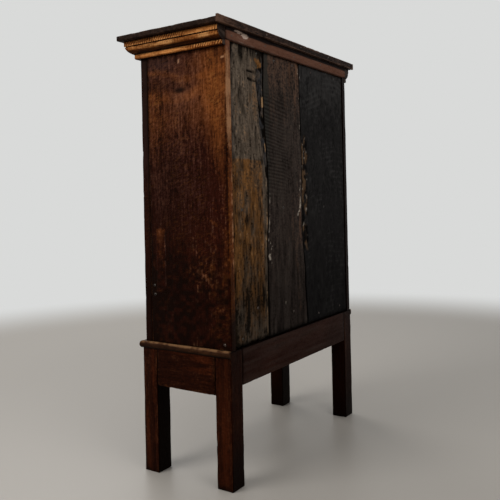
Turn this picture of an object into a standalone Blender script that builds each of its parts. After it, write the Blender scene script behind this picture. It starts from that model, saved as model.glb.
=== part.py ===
# Oak spice cupboard on a joined stand: a nailed carcase under a moulded cornice, with a panelled
# door above two drawers and an inside of pigeonholes, standing on four square legs.
# Metres, +Z up, front towards -Y, origin on the floor under the middle of the whole piece.
import math

import bmesh
import bpy
from mathutils import Matrix, Vector

# Fits
SEAT_GAP = 0.0003  # pieces that rest on, butt against or pass into each other
STRIP_JOINT = 0.0005  # open joint between the front frame and the boards behind it
DOOR_GAP = 0.0015  # round the door in its opening
DRAWER_GAP = 0.0008  # round a drawer in its opening
DRAWER_REAR_GAP = 0.0008  # from a drawer's back to the back boards
PANEL_GAP = 0.0006  # door panel in its grooves
EDGE_EASE = 0.0008  # worn arrises
CUT_OVERRUN = 0.002  # how far a cutting shape runs past the face it cuts

# Carcase
CARCASE_WIDTH = 0.580
CARCASE_DEPTH = 0.243
SIDE_HEIGHT = 0.6932
SIDE_THICKNESS = 0.020
HOUSING_DEPTH = 0.005  # grooves in the sides that hold the level boards
BOTTOM_LIFT = 0.006
BOTTOM_THICKNESS = 0.014
DIVIDER_THICKNESS = 0.014

# Back boards, named from the right side seen from the front
BACK_BOARD_THICKNESS = 0.012
BACK_BOARD_RECESS = 0.003
BACK_BOARD_LIFT = 0.003
BACK_REBATE = 0.004  # lip that the side keeps behind the boards' edges
BACK_JOINT = 0.0008
BACK_BOARD_1_WIDTH = 0.139  # at its foot
BACK_BOARD_1_TAPER = 0.003  # lost by the time it reaches the frieze
BACK_BOARD_2_WIDTH = 0.181  # at its foot
BACK_BOARD_3_GAIN = 0.018  # that the third board widens by on its way up

# Top, frieze and cornice
TOP_THICKNESS = 0.0118
TOP_SIDE_OVERHANG = 0.0387
TOP_FRONT_OVERHANG = 0.0387
TOP_BACK_OVERHANG = 0.004
LATH_THICKNESS = 0.006
LATH_RISE = 0.0044  # above the top board
FRIEZE_HEIGHT = 0.0285
FRIEZE_THICKNESS = 0.012
FRIEZE_PROUD = 0.002
CORNICE_HEIGHT = 0.0412
CORNICE_FILLET_OUT = 0.0096
CORNICE_FILLET_HEIGHT = 0.011
CORNICE_FOOT_ROUND = 0.004
CORNICE_CROWN_OUT = 0.0265
CORNICE_CROWN_HEIGHT = 0.0122
CORNICE_SWELL = 0.0024  # of the ovolo, out from its chord
CORNICE_QUIRK_DEPTH = 0.0030
CORNICE_QUIRK_HEIGHT = 0.0014
CORNICE_OVOLO_BACK = 0.0012  # of the ovolo's upper edge, behind the crown fillet

# Front frame
FRAME_THICKNESS = 0.020
DRAWER_OPENING_HEIGHT = 0.092
DOOR_HEAD_DROP = 0.012  # of the door's head below the cornice

# Pigeonholes
SHELF_THICKNESS = 0.010
UPRIGHT_THICKNESS = 0.010
LOW_TIER_HEIGHT = 0.170
MIDDLE_TIER_HEIGHT = 0.165
SHELF_SETBACK = 0.018  # behind the shut door

# Drawers
PARTITION_THICKNESS = 0.012
DRAWER_FRONT_THICKNESS = 0.014
DRAWER_SIDE_THICKNESS = 0.008
DRAWER_BOTTOM_THICKNESS = 0.006
DRAWER_SIDE_DROP = 0.004  # of the sides below the front's upper edge

# Door
DOOR_THICKNESS = 0.020
DOOR_STILE_WIDTH = 0.060
DOOR_RAIL_HEIGHT = 0.060
DOOR_TENON_THICKNESS = 0.007
DOOR_TENON_LENGTH = 0.036
DOOR_TENON_SHOULDER = 0.012
PANEL_TONGUE = 0.008  # reach of the panel into its grooves
PANEL_TONGUE_THICKNESS = 0.005
PANEL_MARGIN = 0.003  # flat between the frame and the raised field's slope
PANEL_SLOPE = 0.026
PANEL_FIELD_RISE = 0.0055

# Iron hinges, lock and escutcheon
HINGE_HEIGHT = 0.072
HINGE_INSET = 0.090  # of a hinge's middle from the door's end
HINGE_PLATE = 0.002
HINGE_FRAME_LEAF = 0.013
HINGE_DOOR_LEAF = 0.030
KNUCKLE_RADIUS = 0.003
PIN_RADIUS = 0.0014
PIN_HEAD = 0.0015  # how far a pin stands out of its knuckles
LOCK_WIDTH = 0.044
LOCK_HEIGHT = 0.070
LOCK_THICKNESS = 0.011
LOCK_INSET = 0.009  # from the door's edge
ESCUTCHEON_WIDTH = 0.022
ESCUTCHEON_HEIGHT = 0.038
ESCUTCHEON_THICKNESS = 0.0014
KEYHOLE_RADIUS = 0.0024
KEYHOLE_SLOT = 0.0026
KEYHOLE_LENGTH = 0.009

# Turned knobs
KNOB_RADIUS = 0.011
KNOB_LENGTH = 0.022
KNOB_BALL_HEIGHT = 0.014
KNOB_NECK_RADIUS = 0.0055
KNOB_SEAT_RADIUS = 0.0080
KNOB_SPIGOT_RADIUS = 0.0040
KNOB_SPIGOT_LENGTH = 0.011
DOOR_KNOB_RISE = 0.060  # above the keyhole
KNOB_STEPS = 7  # round the ball's profile
ROUND_STEPS = 16  # round a knob, knuckle or pin

# Stand
STAND_HEIGHT = 0.2962
STAND_SIDE_LEDGE = 0.0045
STAND_FRONT_LEDGE = 0.006
LEG_WIDTH = 0.043
LEG_DEPTH = 0.042
RAIL_THICKNESS = 0.022
SIDE_RAIL_HEIGHT = 0.0965
FRONT_RAIL_HEIGHT = 0.0965
BACK_RAIL_HEIGHT = 0.0790
STAND_TENON_THICKNESS = 0.008
STAND_TENON_LENGTH = 0.018
STAND_TENON_SHOULDER = 0.010
BEAD_HEIGHT = 0.016
BEAD_RISE = 0.0025  # above the stand's top
BEAD_OUT = 0.0055  # beyond the legs
BEAD_STEPS = 8

# Finishes: colour, roughness, metallic
DARK_OAK = ((0.048, 0.022, 0.012), 0.52, 0.0)
GOLDEN_OAK = ((0.180, 0.082, 0.030), 0.48, 0.0)
BLACK_OAK = ((0.020, 0.014, 0.011), 0.62, 0.0)
GREY_OAK = ((0.075, 0.055, 0.042), 0.80, 0.0)
RED_OAK = ((0.075, 0.032, 0.020), 0.50, 0.0)
PLAIN_OAK = ((0.210, 0.115, 0.052), 0.65, 0.0)
IRON = ((0.030, 0.029, 0.028), 0.55, 0.85)

# Levels and planes that the pieces share
BACK_REACH = TOP_BACK_OVERHANG + SEAT_GAP + LATH_THICKNESS
BACK_Y = (TOP_FRONT_OVERHANG + CARCASE_DEPTH - BACK_REACH) / 2
FACE_Y = BACK_Y - CARCASE_DEPTH
FRAME_BACK_Y = FACE_Y + FRAME_THICKNESS
BOARD_FRONT_Y = FRAME_BACK_Y + STRIP_JOINT
BACK_BOARD_Y = BACK_Y - BACK_BOARD_RECESS - BACK_BOARD_THICKNESS
INNER_BACK_Y = BACK_BOARD_Y - SEAT_GAP
SHELF_FRONT_Y = FACE_Y + DOOR_THICKNESS + SHELF_SETBACK
OUTER_X = CARCASE_WIDTH / 2
INNER_X = OUTER_X - SIDE_THICKNESS
HOUSED_X = INNER_X + HOUSING_DEPTH - SEAT_GAP
FOOT_Z = STAND_HEIGHT + SEAT_GAP
SIDE_TOP_Z = FOOT_Z + SIDE_HEIGHT
TOP_Z = SIDE_TOP_Z + SEAT_GAP
CORNICE_Z = SIDE_TOP_Z - CORNICE_HEIGHT
FRIEZE_Z = SIDE_TOP_Z - FRIEZE_HEIGHT
BOTTOM_Z = FOOT_Z + BOTTOM_LIFT
FLOOR_Z = BOTTOM_Z + BOTTOM_THICKNESS
DIVIDER_Z = FLOOR_Z + DRAWER_OPENING_HEIGHT
SILL_Z = DIVIDER_Z + DIVIDER_THICKNESS
HEAD_Z = CORNICE_Z - DOOR_HEAD_DROP
LOW_SHELF_Z = SILL_Z + LOW_TIER_HEIGHT
HIGH_SHELF_Z = LOW_SHELF_Z + SHELF_THICKNESS + MIDDLE_TIER_HEIGHT
BACK_EDGE_X = INNER_X + BACK_REBATE - SEAT_GAP
HINGE_X = -INNER_X + DOOR_GAP / 2
HINGE_Y = FACE_Y - SEAT_GAP - KNUCKLE_RADIUS
STAND_X = OUTER_X + STAND_SIDE_LEDGE
STAND_FRONT_Y = FACE_Y - STAND_FRONT_LEDGE


def new_collection(name):
    collection = bpy.data.collections.new(name)
    bpy.context.scene.collection.children.link(collection)
    return collection


for old in list(bpy.data.objects):
    bpy.data.objects.remove(old)
PARTS = new_collection("spice_cupboard_on_stand")
CUTTERS = new_collection("cutters")


def add_axis(name, location):
    axis = bpy.data.objects.new(name, None)
    axis.empty_display_size = 0.03
    axis.location = location
    PARTS.objects.link(axis)
    return axis


def add_part(name, mesh, finish, location, axis=None):
    # A piece that moves hangs from the empty on its joint's axis.
    colour, roughness, metallic = finish
    material = bpy.data.materials.new(name)
    material.use_nodes = True
    shader = material.node_tree.nodes["Principled BSDF"]
    shader.inputs["Base Color"].default_value = (*colour, 1.0)
    shader.inputs["Roughness"].default_value = roughness
    shader.inputs["Metallic"].default_value = metallic
    mesh.materials.append(material)
    part = bpy.data.objects.new(name, mesh)
    PARTS.objects.link(part)
    part.location = Vector(location)
    if axis:
        part.parent = axis
        part.location -= axis.location
    return part


def add_cutter(name, mesh, location):
    cutter = bpy.data.objects.new(name, mesh)
    CUTTERS.objects.link(cutter)
    cutter.location = Vector(location)
    cutter.hide_render = True
    cutter.display_type = "WIRE"
    return cutter


def box_mesh(name, size):
    mesh = bpy.data.meshes.new(name)
    solid = bmesh.new()
    bmesh.ops.create_cube(solid, size=1.0)
    bmesh.ops.scale(solid, vec=size, verts=solid.verts)
    solid.to_mesh(mesh)
    solid.free()
    return mesh


def rod_mesh(name, radius, length):
    mesh = bpy.data.meshes.new(name)
    solid = bmesh.new()
    bmesh.ops.create_cone(
        solid, cap_ends=True, segments=ROUND_STEPS, radius1=radius, radius2=radius, depth=length
    )
    solid.to_mesh(mesh)
    solid.free()
    return mesh


def plain_box(name, low, high, finish, axis=None):
    low, high = Vector(low), Vector(high)
    return add_part(name, box_mesh(name, high - low), finish, (low + high) / 2, axis)


def board(name, low, high, finish, axis=None):
    part = plain_box(name, low, high, finish, axis)
    ease = part.modifiers.new("eased edges", "BEVEL")
    ease.width = EDGE_EASE
    ease.segments = 1
    return part


def box_cutter(name, low, high, grow=0.0):
    margin = Vector((grow, grow, grow))
    low, high = Vector(low) - margin, Vector(high) + margin
    return add_cutter(name, box_mesh(name, high - low), (low + high) / 2)


def round_cutter(name, radius, length, location, along_y):
    cutter = add_cutter(name, rod_mesh(name, radius, length), location)
    if along_y:
        cutter.rotation_euler = (math.pi / 2, 0.0, 0.0)
    return cutter


def combine(part, other, operation):
    step = part.modifiers.new(other.name, "BOOLEAN")
    step.operation = operation
    step.object = other
    step.solver = "EXACT"


def outline_mesh(name, outlines, length):
    # Closed flat outlines, filled and drawn out to length along local +Z; inner ones are holes.
    curve = bpy.data.curves.new(name, "CURVE")
    curve.dimensions = "2D"
    curve.fill_mode = "BOTH"
    curve.extrude = length / 2
    for outline in outlines:
        spline = curve.splines.new("POLY")
        spline.points.add(len(outline) - 1)
        for point, (across, up) in zip(spline.points, outline):
            point.co = (across, up, 0.0, 1.0)
        spline.use_cyclic_u = True
    guide = bpy.data.objects.new(name, curve)
    CUTTERS.objects.link(guide)
    graph = bpy.context.evaluated_depsgraph_get()
    mesh = bpy.data.meshes.new_from_object(guide.evaluated_get(graph))
    bpy.data.objects.remove(guide)
    solid = bmesh.new()
    solid.from_mesh(mesh)
    bmesh.ops.remove_doubles(solid, verts=solid.verts, dist=0.00001)
    bmesh.ops.translate(solid, vec=(0.0, 0.0, length / 2), verts=solid.verts)
    solid.to_mesh(mesh)
    solid.free()
    mesh.materials.clear()
    return mesh


def moulding(name, outline, start, outward, run, length, mitres, finish):
    # The outline's first number is its outstand and its second its height. A mitred end is
    # lengthened by each point's outstand.
    mesh = outline_mesh(name, [outline], length)
    mitre_start, mitre_end = mitres
    for vertex in mesh.vertices:
        outstand = vertex.co.x
        if mitre_start and vertex.co.z < length / 2:
            vertex.co.z -= outstand
        elif mitre_end and vertex.co.z > length / 2:
            vertex.co.z += outstand
    part = add_part(name, mesh, finish, start)
    turn = Matrix((outward, (0.0, 0.0, 1.0), run)).transposed()
    part.rotation_euler = turn.to_euler()
    return part


def arc(centre, radius, start_degrees, end_degrees, steps):
    points = []
    for step in range(steps + 1):
        angle = math.radians(start_degrees + (end_degrees - start_degrees) * step / steps)
        points.append((centre[0] + radius * math.cos(angle), centre[1] + radius * math.sin(angle)))
    return points


def swelling(start, end, rise, steps):
    # From start to end, standing out to the right of the chord by rise at its middle.
    start, end = Vector(start), Vector(end)
    chord = end - start
    right = Vector((chord.y, -chord.x)).normalized()
    points = []
    for step in range(steps + 1):
        share = step / steps
        points.append(tuple(start + chord * share + right * rise * (1 - (2 * share - 1) ** 2)))
    return points


def tenoned_rail(name, low, high, along, finish, tenon, axis=None):
    # A rail with a tenon at each end along X (0) or Y (1), and the bar that cuts its mortises.
    # tenon holds its thickness, length and the shoulders below and above it.
    thickness, length, below, above = tenon
    across = 1 - along
    bar_low, bar_high = Vector(low), Vector(high)
    middle = (bar_low[across] + bar_high[across]) / 2
    bar_low[across] = middle - thickness / 2
    bar_high[across] = middle + thickness / 2
    bar_low[along] -= length
    bar_high[along] += length
    bar_low.z += below
    bar_high.z -= above
    rail = board(name, low, high, finish, axis)
    combine(rail, box_cutter(f"{name}_tenons", bar_low, bar_high), "UNION")
    return rail, box_cutter(f"{name}_mortises", bar_low, bar_high, SEAT_GAP)


def knob(name, seat, finish, axis=None):
    # A flattened ball on a neck and a flared seat. The profile runs from the nose down to the
    # spigot's end, and local +Z points to the front.
    ball_z = KNOB_LENGTH - KNOB_BALL_HEIGHT / 2
    profile = [(0.0, KNOB_LENGTH)]
    for across, up in arc((0.0, 0.0), 1.0, 75.0, -45.0, KNOB_STEPS):
        profile.append((KNOB_RADIUS * across, ball_z + KNOB_BALL_HEIGHT / 2 * up))
    profile.append((KNOB_NECK_RADIUS, (KNOB_LENGTH - KNOB_BALL_HEIGHT) / 2))
    profile.append((KNOB_SEAT_RADIUS, SEAT_GAP))
    profile.append((KNOB_SPIGOT_RADIUS, SEAT_GAP))
    profile.append((KNOB_SPIGOT_RADIUS, -KNOB_SPIGOT_LENGTH))
    profile.append((0.0, -KNOB_SPIGOT_LENGTH))
    mesh = bpy.data.meshes.new(name)
    points = [(reach, 0.0, height) for reach, height in profile]
    mesh.from_pydata(points, [(n, n + 1) for n in range(len(points) - 1)], [])
    part = add_part(name, mesh, finish, seat, axis)
    part.rotation_euler = (math.pi / 2, 0.0, 0.0)
    turned = part.modifiers.new("turned", "SCREW")
    turned.steps = ROUND_STEPS
    turned.render_steps = ROUND_STEPS
    turned.use_merge_vertices = True
    turned.merge_threshold = 0.00001
    return part


def spigot_hole(name, front, seat, thickness):
    length = 2 * (thickness + CUT_OVERRUN)
    hole = round_cutter(name, KNOB_SPIGOT_RADIUS + SEAT_GAP, length, seat, along_y=True)
    combine(front, hole, "DIFFERENCE")


def make_stand():
    front, back = STAND_FRONT_Y, BACK_Y
    inner_x = STAND_X - LEG_WIDTH - SEAT_GAP
    inner_front = front + LEG_DEPTH + SEAT_GAP
    inner_back = back - LEG_DEPTH - SEAT_GAP
    tenon = (STAND_TENON_THICKNESS, STAND_TENON_LENGTH, STAND_TENON_SHOULDER, STAND_TENON_SHOULDER)
    mortises = {}
    for name, rail_front, height in (
        ("front", front, FRONT_RAIL_HEIGHT),
        ("back", back - RAIL_THICKNESS, BACK_RAIL_HEIGHT),
    ):
        low = (-inner_x, rail_front, STAND_HEIGHT - height)
        high = (inner_x, rail_front + RAIL_THICKNESS, STAND_HEIGHT)
        mortises[name] = tenoned_rail(f"stand_rail_{name}", low, high, 0, DARK_OAK, tenon)[1]
    for name, rail_x in (("left", -STAND_X), ("right", STAND_X - RAIL_THICKNESS)):
        low = (rail_x, inner_front, STAND_HEIGHT - SIDE_RAIL_HEIGHT)
        high = (rail_x + RAIL_THICKNESS, inner_back, STAND_HEIGHT)
        mortises[name] = tenoned_rail(f"stand_rail_{name}", low, high, 1, DARK_OAK, tenon)[1]
    for row, leg_y in (("front", front), ("back", back - LEG_DEPTH)):
        for side, leg_x in (("left", -STAND_X), ("right", STAND_X - LEG_WIDTH)):
            low = (leg_x, leg_y, 0.0)
            high = (leg_x + LEG_WIDTH, leg_y + LEG_DEPTH, STAND_HEIGHT)
            leg = board(f"leg_{row}_{side}", low, high, DARK_OAK)
            combine(leg, mortises[row], "DIFFERENCE")
            combine(leg, mortises[side], "DIFFERENCE")


def bead_outline(ledge):
    # Planted on the stand's face and lapping its ledge, with a rounded nose. Outstand is
    # measured from the carcase, height from the stand's top.
    half = BEAD_HEIGHT / 2
    reach = BEAD_OUT - SEAT_GAP
    outline = []
    for across, up in arc((0.0, 0.0), 1.0, -90.0, 90.0, BEAD_STEPS):
        outline.append((ledge + SEAT_GAP + reach * across, BEAD_RISE - half + half * up))
    outline.append((SEAT_GAP, BEAD_RISE))
    outline.append((SEAT_GAP, SEAT_GAP))
    outline.append((ledge + SEAT_GAP, SEAT_GAP))
    return outline


def make_beads():
    side = bead_outline(STAND_SIDE_LEDGE)
    front = bead_outline(STAND_FRONT_LEDGE)
    level = STAND_HEIGHT
    corner = STAND_FRONT_LEDGE - STAND_SIDE_LEDGE
    depth = BACK_Y - FACE_Y + corner - SEAT_GAP
    width = CARCASE_WIDTH - 2 * corner - 2 * SEAT_GAP
    moulding("stand_bead_right", side, (OUTER_X, BACK_Y, level), (1, 0, 0), (0, -1, 0),
             depth, (False, True), GOLDEN_OAK)
    moulding("stand_bead_left", side, (-OUTER_X, FACE_Y - corner + SEAT_GAP, level), (-1, 0, 0),
             (0, 1, 0), depth, (True, False), GOLDEN_OAK)
    moulding("stand_bead_front", front, (width / 2, FACE_Y, level), (0, -1, 0), (-1, 0, 0),
             width, (True, True), GOLDEN_OAK)


def cornice_outline():
    fillet = CORNICE_FILLET_OUT
    round_centre = (fillet - CORNICE_FOOT_ROUND, CORNICE_FOOT_ROUND)
    crown_z = CORNICE_HEIGHT - CORNICE_CROWN_HEIGHT
    ovolo_top = (CORNICE_CROWN_OUT - CORNICE_OVOLO_BACK, crown_z - CORNICE_QUIRK_HEIGHT)
    quirk = CORNICE_CROWN_OUT - CORNICE_OVOLO_BACK - CORNICE_QUIRK_DEPTH
    outline = [(SEAT_GAP, 0.0)]
    outline += arc(round_centre, CORNICE_FOOT_ROUND, -90.0, 0.0, 4)
    outline += swelling((fillet, CORNICE_FILLET_HEIGHT), ovolo_top, CORNICE_SWELL, 6)
    outline.append((quirk, ovolo_top[1]))
    outline.append((quirk, crown_z))
    outline.append((CORNICE_CROWN_OUT, crown_z))
    outline.append((CORNICE_CROWN_OUT, CORNICE_HEIGHT))
    outline.append((SEAT_GAP, CORNICE_HEIGHT))
    return outline


def make_cornice():
    outline = cornice_outline()
    depth = CARCASE_DEPTH - SEAT_GAP
    width = CARCASE_WIDTH - 2 * SEAT_GAP
    moulding("cornice_right", outline, (OUTER_X, BACK_Y, CORNICE_Z), (1, 0, 0), (0, -1, 0),
             depth, (False, True), GOLDEN_OAK)
    moulding("cornice_left", outline, (-OUTER_X, FACE_Y + SEAT_GAP, CORNICE_Z), (-1, 0, 0),
             (0, 1, 0), depth, (True, False), GOLDEN_OAK)
    moulding("cornice_front", outline, (width / 2, FACE_Y, CORNICE_Z), (0, -1, 0), (-1, 0, 0),
             width, (True, True), GOLDEN_OAK)


def make_top():
    top_x = OUTER_X + TOP_SIDE_OVERHANG
    top_back = BACK_Y + TOP_BACK_OVERHANG
    board("top_board", (-top_x, FACE_Y - TOP_FRONT_OVERHANG, TOP_Z),
          (top_x, top_back, TOP_Z + TOP_THICKNESS), BLACK_OAK)
    board("top_back_lath", (-top_x, top_back + SEAT_GAP, TOP_Z),
          (top_x, top_back + SEAT_GAP + LATH_THICKNESS, TOP_Z + TOP_THICKNESS + LATH_RISE), BLACK_OAK)
    board("back_frieze", (-OUTER_X, BACK_Y + FRIEZE_PROUD - FRIEZE_THICKNESS, FRIEZE_Z),
          (OUTER_X, BACK_Y + FRIEZE_PROUD, SIDE_TOP_Z), RED_OAK)


def make_level_boards():
    # Each runs into housings in both sides; its front edge, level and thickness are given.
    levels = {
        "bottom_board": (BOARD_FRONT_Y, BOTTOM_Z, BOTTOM_THICKNESS),
        "drawer_divider_board": (BOARD_FRONT_Y, DIVIDER_Z, DIVIDER_THICKNESS),
        "shelf_low": (SHELF_FRONT_Y, LOW_SHELF_Z, SHELF_THICKNESS),
        "shelf_high": (SHELF_FRONT_Y, HIGH_SHELF_Z, SHELF_THICKNESS),
    }
    boards = {}
    housings = []
    for name, (front, level, thickness) in levels.items():
        low = (-HOUSED_X, front, level)
        high = (HOUSED_X, INNER_BACK_Y, level + thickness)
        boards[name] = board(name, low, high, PLAIN_OAK)
        through = (HOUSED_X, BACK_Y + CUT_OVERRUN, level + thickness)
        housings.append(box_cutter(f"{name}_housings", low, through, SEAT_GAP))
    return boards, housings


def make_pigeonholes(boards):
    # Uprights and shelves are halved over each other: shelves from behind, uprights from the front.
    halfway = (SHELF_FRONT_Y + INNER_BACK_Y) / 2
    clear = (2 * INNER_X - 2 * UPRIGHT_THICKNESS) / 3
    bottom = SILL_Z + SEAT_GAP
    for name, left in (
        ("upright_left", -INNER_X + clear),
        ("upright_right", INNER_X - clear - UPRIGHT_THICKNESS),
    ):
        right = left + UPRIGHT_THICKNESS
        upright = board(name, (left, SHELF_FRONT_Y, bottom), (right, INNER_BACK_Y, SIDE_TOP_Z), PLAIN_OAK)
        for shelf_name, level in (("shelf_low", LOW_SHELF_Z), ("shelf_high", HIGH_SHELF_Z)):
            shelf = boards[shelf_name]
            shelf_slot = box_cutter(
                f"{shelf_name}_{name}_slot",
                (left, halfway, level - CUT_OVERRUN),
                (right, INNER_BACK_Y + CUT_OVERRUN, level + SHELF_THICKNESS + CUT_OVERRUN),
                SEAT_GAP,
            )
            upright_slot = box_cutter(
                f"{name}_{shelf_name}_slot",
                (left - CUT_OVERRUN, SHELF_FRONT_Y - CUT_OVERRUN, level),
                (right + CUT_OVERRUN, halfway, level + SHELF_THICKNESS),
                SEAT_GAP,
            )
            combine(shelf, shelf_slot, "DIFFERENCE")
            combine(upright, upright_slot, "DIFFERENCE")


def make_sides(housings):
    rebate = box_cutter(
        "back_rebate",
        (-BACK_EDGE_X, BACK_BOARD_Y, FOOT_Z - CUT_OVERRUN),
        (BACK_EDGE_X, BACK_Y + CUT_OVERRUN, FRIEZE_Z + CUT_OVERRUN),
        SEAT_GAP,
    )
    frieze_notch = box_cutter(
        "frieze_notch",
        (-OUTER_X - CUT_OVERRUN, BACK_Y + FRIEZE_PROUD - FRIEZE_THICKNESS, FRIEZE_Z),
        (OUTER_X + CUT_OVERRUN, BACK_Y + FRIEZE_PROUD + CUT_OVERRUN, SIDE_TOP_Z + CUT_OVERRUN),
        SEAT_GAP,
    )
    for name, low_x in (("side_left", -OUTER_X), ("side_right", INNER_X)):
        low = (low_x, BOARD_FRONT_Y, FOOT_Z)
        high = (low_x + SIDE_THICKNESS, BACK_Y, SIDE_TOP_Z)
        side = board(name, low, high, DARK_OAK)
        for cutter in (rebate, frieze_notch, *housings):
            combine(side, cutter, "DIFFERENCE")


def make_back_boards():
    foot = FOOT_Z + BACK_BOARD_LIFT
    height = FRIEZE_Z - SEAT_GAP - foot
    joint_1_foot = BACK_EDGE_X - BACK_BOARD_1_WIDTH
    joint_1_head = joint_1_foot + BACK_BOARD_1_TAPER
    joint_2_foot = joint_1_foot - BACK_JOINT - BACK_BOARD_2_WIDTH
    joint_2_head = joint_2_foot + BACK_BOARD_3_GAIN
    edges = {
        "back_board_1": (joint_1_foot, BACK_EDGE_X, BACK_EDGE_X, joint_1_head, GREY_OAK),
        "back_board_2": (joint_2_foot, joint_1_foot - BACK_JOINT, joint_1_head - BACK_JOINT, joint_2_head, BLACK_OAK),
        "back_board_3": (-BACK_EDGE_X, joint_2_foot - BACK_JOINT, joint_2_head - BACK_JOINT, -BACK_EDGE_X, BLACK_OAK),
    }
    for name, (foot_left, foot_right, head_right, head_left, finish) in edges.items():
        outline = [(foot_left, 0.0), (foot_right, 0.0), (head_right, height), (head_left, height)]
        mesh = outline_mesh(name, [outline], BACK_BOARD_THICKNESS)
        part = add_part(name, mesh, finish, (0.0, BACK_BOARD_Y + BACK_BOARD_THICKNESS, foot))
        part.rotation_euler = (math.pi / 2, 0.0, 0.0)


def make_front_frame():
    for name, low_x in (("front_stile_left", -OUTER_X), ("front_stile_right", INNER_X)):
        board(name, (low_x, FACE_Y, FOOT_Z), (low_x + SIDE_THICKNESS, FRAME_BACK_Y, SIDE_TOP_Z), DARK_OAK)
    reach = INNER_X - SEAT_GAP
    for name, low_z, high_z in (
        ("front_rail_bottom", FOOT_Z, FLOOR_Z),
        ("front_rail_middle", DIVIDER_Z, SILL_Z),
        ("front_rail_top", HEAD_Z, SIDE_TOP_Z),
    ):
        board(name, (-reach, FACE_Y, low_z), (reach, FRAME_BACK_Y, high_z), DARK_OAK)


def make_drawers():
    half = PARTITION_THICKNESS / 2
    board("drawer_partition", (-half, FACE_Y, FLOOR_Z + SEAT_GAP),
          (half, INNER_BACK_Y, DIVIDER_Z - SEAT_GAP), DARK_OAK)
    rear = BACK_BOARD_Y - DRAWER_REAR_GAP
    base = FLOOR_Z + SEAT_GAP
    head = DIVIDER_Z - DRAWER_GAP
    behind = FACE_Y + DRAWER_FRONT_THICKNESS + SEAT_GAP
    wall = base + DRAWER_BOTTOM_THICKNESS + SEAT_GAP
    rim = head - DRAWER_SIDE_DROP
    for hand, low_x, high_x in (
        ("left", -INNER_X + DRAWER_GAP, -half - DRAWER_GAP),
        ("right", half + DRAWER_GAP, INNER_X - DRAWER_GAP),
    ):
        seat = ((low_x + high_x) / 2, FACE_Y, (base + head) / 2)
        slide = add_axis(f"drawer_{hand}_slide", seat)
        name = f"drawer_{hand}"
        front = board(f"{name}_front", (low_x, FACE_Y, base),
                      (high_x, FACE_Y + DRAWER_FRONT_THICKNESS, head), DARK_OAK, slide)
        spigot_hole(f"{name}_knob_hole", front, seat, DRAWER_FRONT_THICKNESS)
        knob(f"{name}_knob", seat, DARK_OAK, slide)
        board(f"{name}_bottom", (low_x, behind, base),
              (high_x, rear, base + DRAWER_BOTTOM_THICKNESS), PLAIN_OAK, slide)
        for side, side_x in (("left", low_x), ("right", high_x - DRAWER_SIDE_THICKNESS)):
            board(f"{name}_side_{side}", (side_x, behind, wall),
                  (side_x + DRAWER_SIDE_THICKNESS, rear, rim), PLAIN_OAK, slide)
        inset = DRAWER_SIDE_THICKNESS + SEAT_GAP
        board(f"{name}_back", (low_x + inset, rear - DRAWER_SIDE_THICKNESS, wall),
              (high_x - inset, rear, rim), PLAIN_OAK, slide)


def make_door_panel(low, high, axis):
    # A slab held in the grooves, whose front rises to a flat field behind a sloping border.
    low, high = Vector(low), Vector(high)
    mesh = box_mesh("door_panel", high - low)
    solid = bmesh.new()
    solid.from_mesh(mesh)
    solid.normal_update()
    front = [face for face in solid.faces if face.normal.y < -0.5]
    bmesh.ops.inset_region(solid, faces=front, thickness=PANEL_TONGUE + PANEL_MARGIN, depth=0.0)
    bmesh.ops.inset_region(solid, faces=front, thickness=PANEL_SLOPE, depth=PANEL_FIELD_RISE)
    solid.to_mesh(mesh)
    solid.free()
    add_part("door_panel", mesh, DARK_OAK, (low + high) / 2, axis)


def make_door(axis):
    low_x, high_x = -INNER_X + DOOR_GAP, INNER_X - DOOR_GAP
    low_z, high_z = SILL_Z + DOOR_GAP, HEAD_Z - DOOR_GAP
    back = FACE_Y + DOOR_THICKNESS
    stile_in = DOOR_STILE_WIDTH + SEAT_GAP
    groove = PANEL_TONGUE + PANEL_GAP + SEAT_GAP
    middle_y = FACE_Y + DOOR_THICKNESS / 2
    panel_low = (
        low_x + DOOR_STILE_WIDTH - PANEL_TONGUE,
        middle_y - PANEL_TONGUE_THICKNESS / 2,
        low_z + DOOR_RAIL_HEIGHT - PANEL_TONGUE,
    )
    panel_high = (
        high_x - DOOR_STILE_WIDTH + PANEL_TONGUE,
        middle_y + PANEL_TONGUE_THICKNESS / 2,
        high_z - DOOR_RAIL_HEIGHT + PANEL_TONGUE,
    )
    make_door_panel(panel_low, panel_high, axis)
    panel_groove = box_cutter("door_panel_groove", panel_low, panel_high, PANEL_GAP)
    mortises = []
    inner_shoulder = DOOR_TENON_SHOULDER + groove
    for name, rail_low, below, above in (
        ("door_rail_bottom", low_z, DOOR_TENON_SHOULDER, inner_shoulder),
        ("door_rail_top", high_z - DOOR_RAIL_HEIGHT, inner_shoulder, DOOR_TENON_SHOULDER),
    ):
        tenon = (DOOR_TENON_THICKNESS, DOOR_TENON_LENGTH, below, above)
        rail, mortise = tenoned_rail(
            name, (low_x + stile_in, FACE_Y, rail_low),
            (high_x - stile_in, back, rail_low + DOOR_RAIL_HEIGHT), 0, DARK_OAK, tenon, axis
        )
        combine(rail, panel_groove, "DIFFERENCE")
        mortises.append(mortise)
    stiles = {}
    for name, stile_x in (("door_stile_hinge", low_x), ("door_stile_lock", high_x - DOOR_STILE_WIDTH)):
        stiles[name] = board(name, (stile_x, FACE_Y, low_z),
                             (stile_x + DOOR_STILE_WIDTH, back, high_z), DARK_OAK, axis)
        for cutter in (panel_groove, *mortises):
            combine(stiles[name], cutter, "DIFFERENCE")
    make_door_lock(stiles["door_stile_lock"], high_x, (low_z + high_z) / 2, axis)


def keyhole_outline():
    half = KEYHOLE_SLOT / 2
    reach = math.degrees(math.asin(half / KEYHOLE_RADIUS))
    outline = arc((0.0, 0.0), KEYHOLE_RADIUS, -90.0 + reach, 270.0 - reach, 12)
    outline.append((-half, -KEYHOLE_LENGTH))
    outline.append((half, -KEYHOLE_LENGTH))
    return outline


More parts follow.
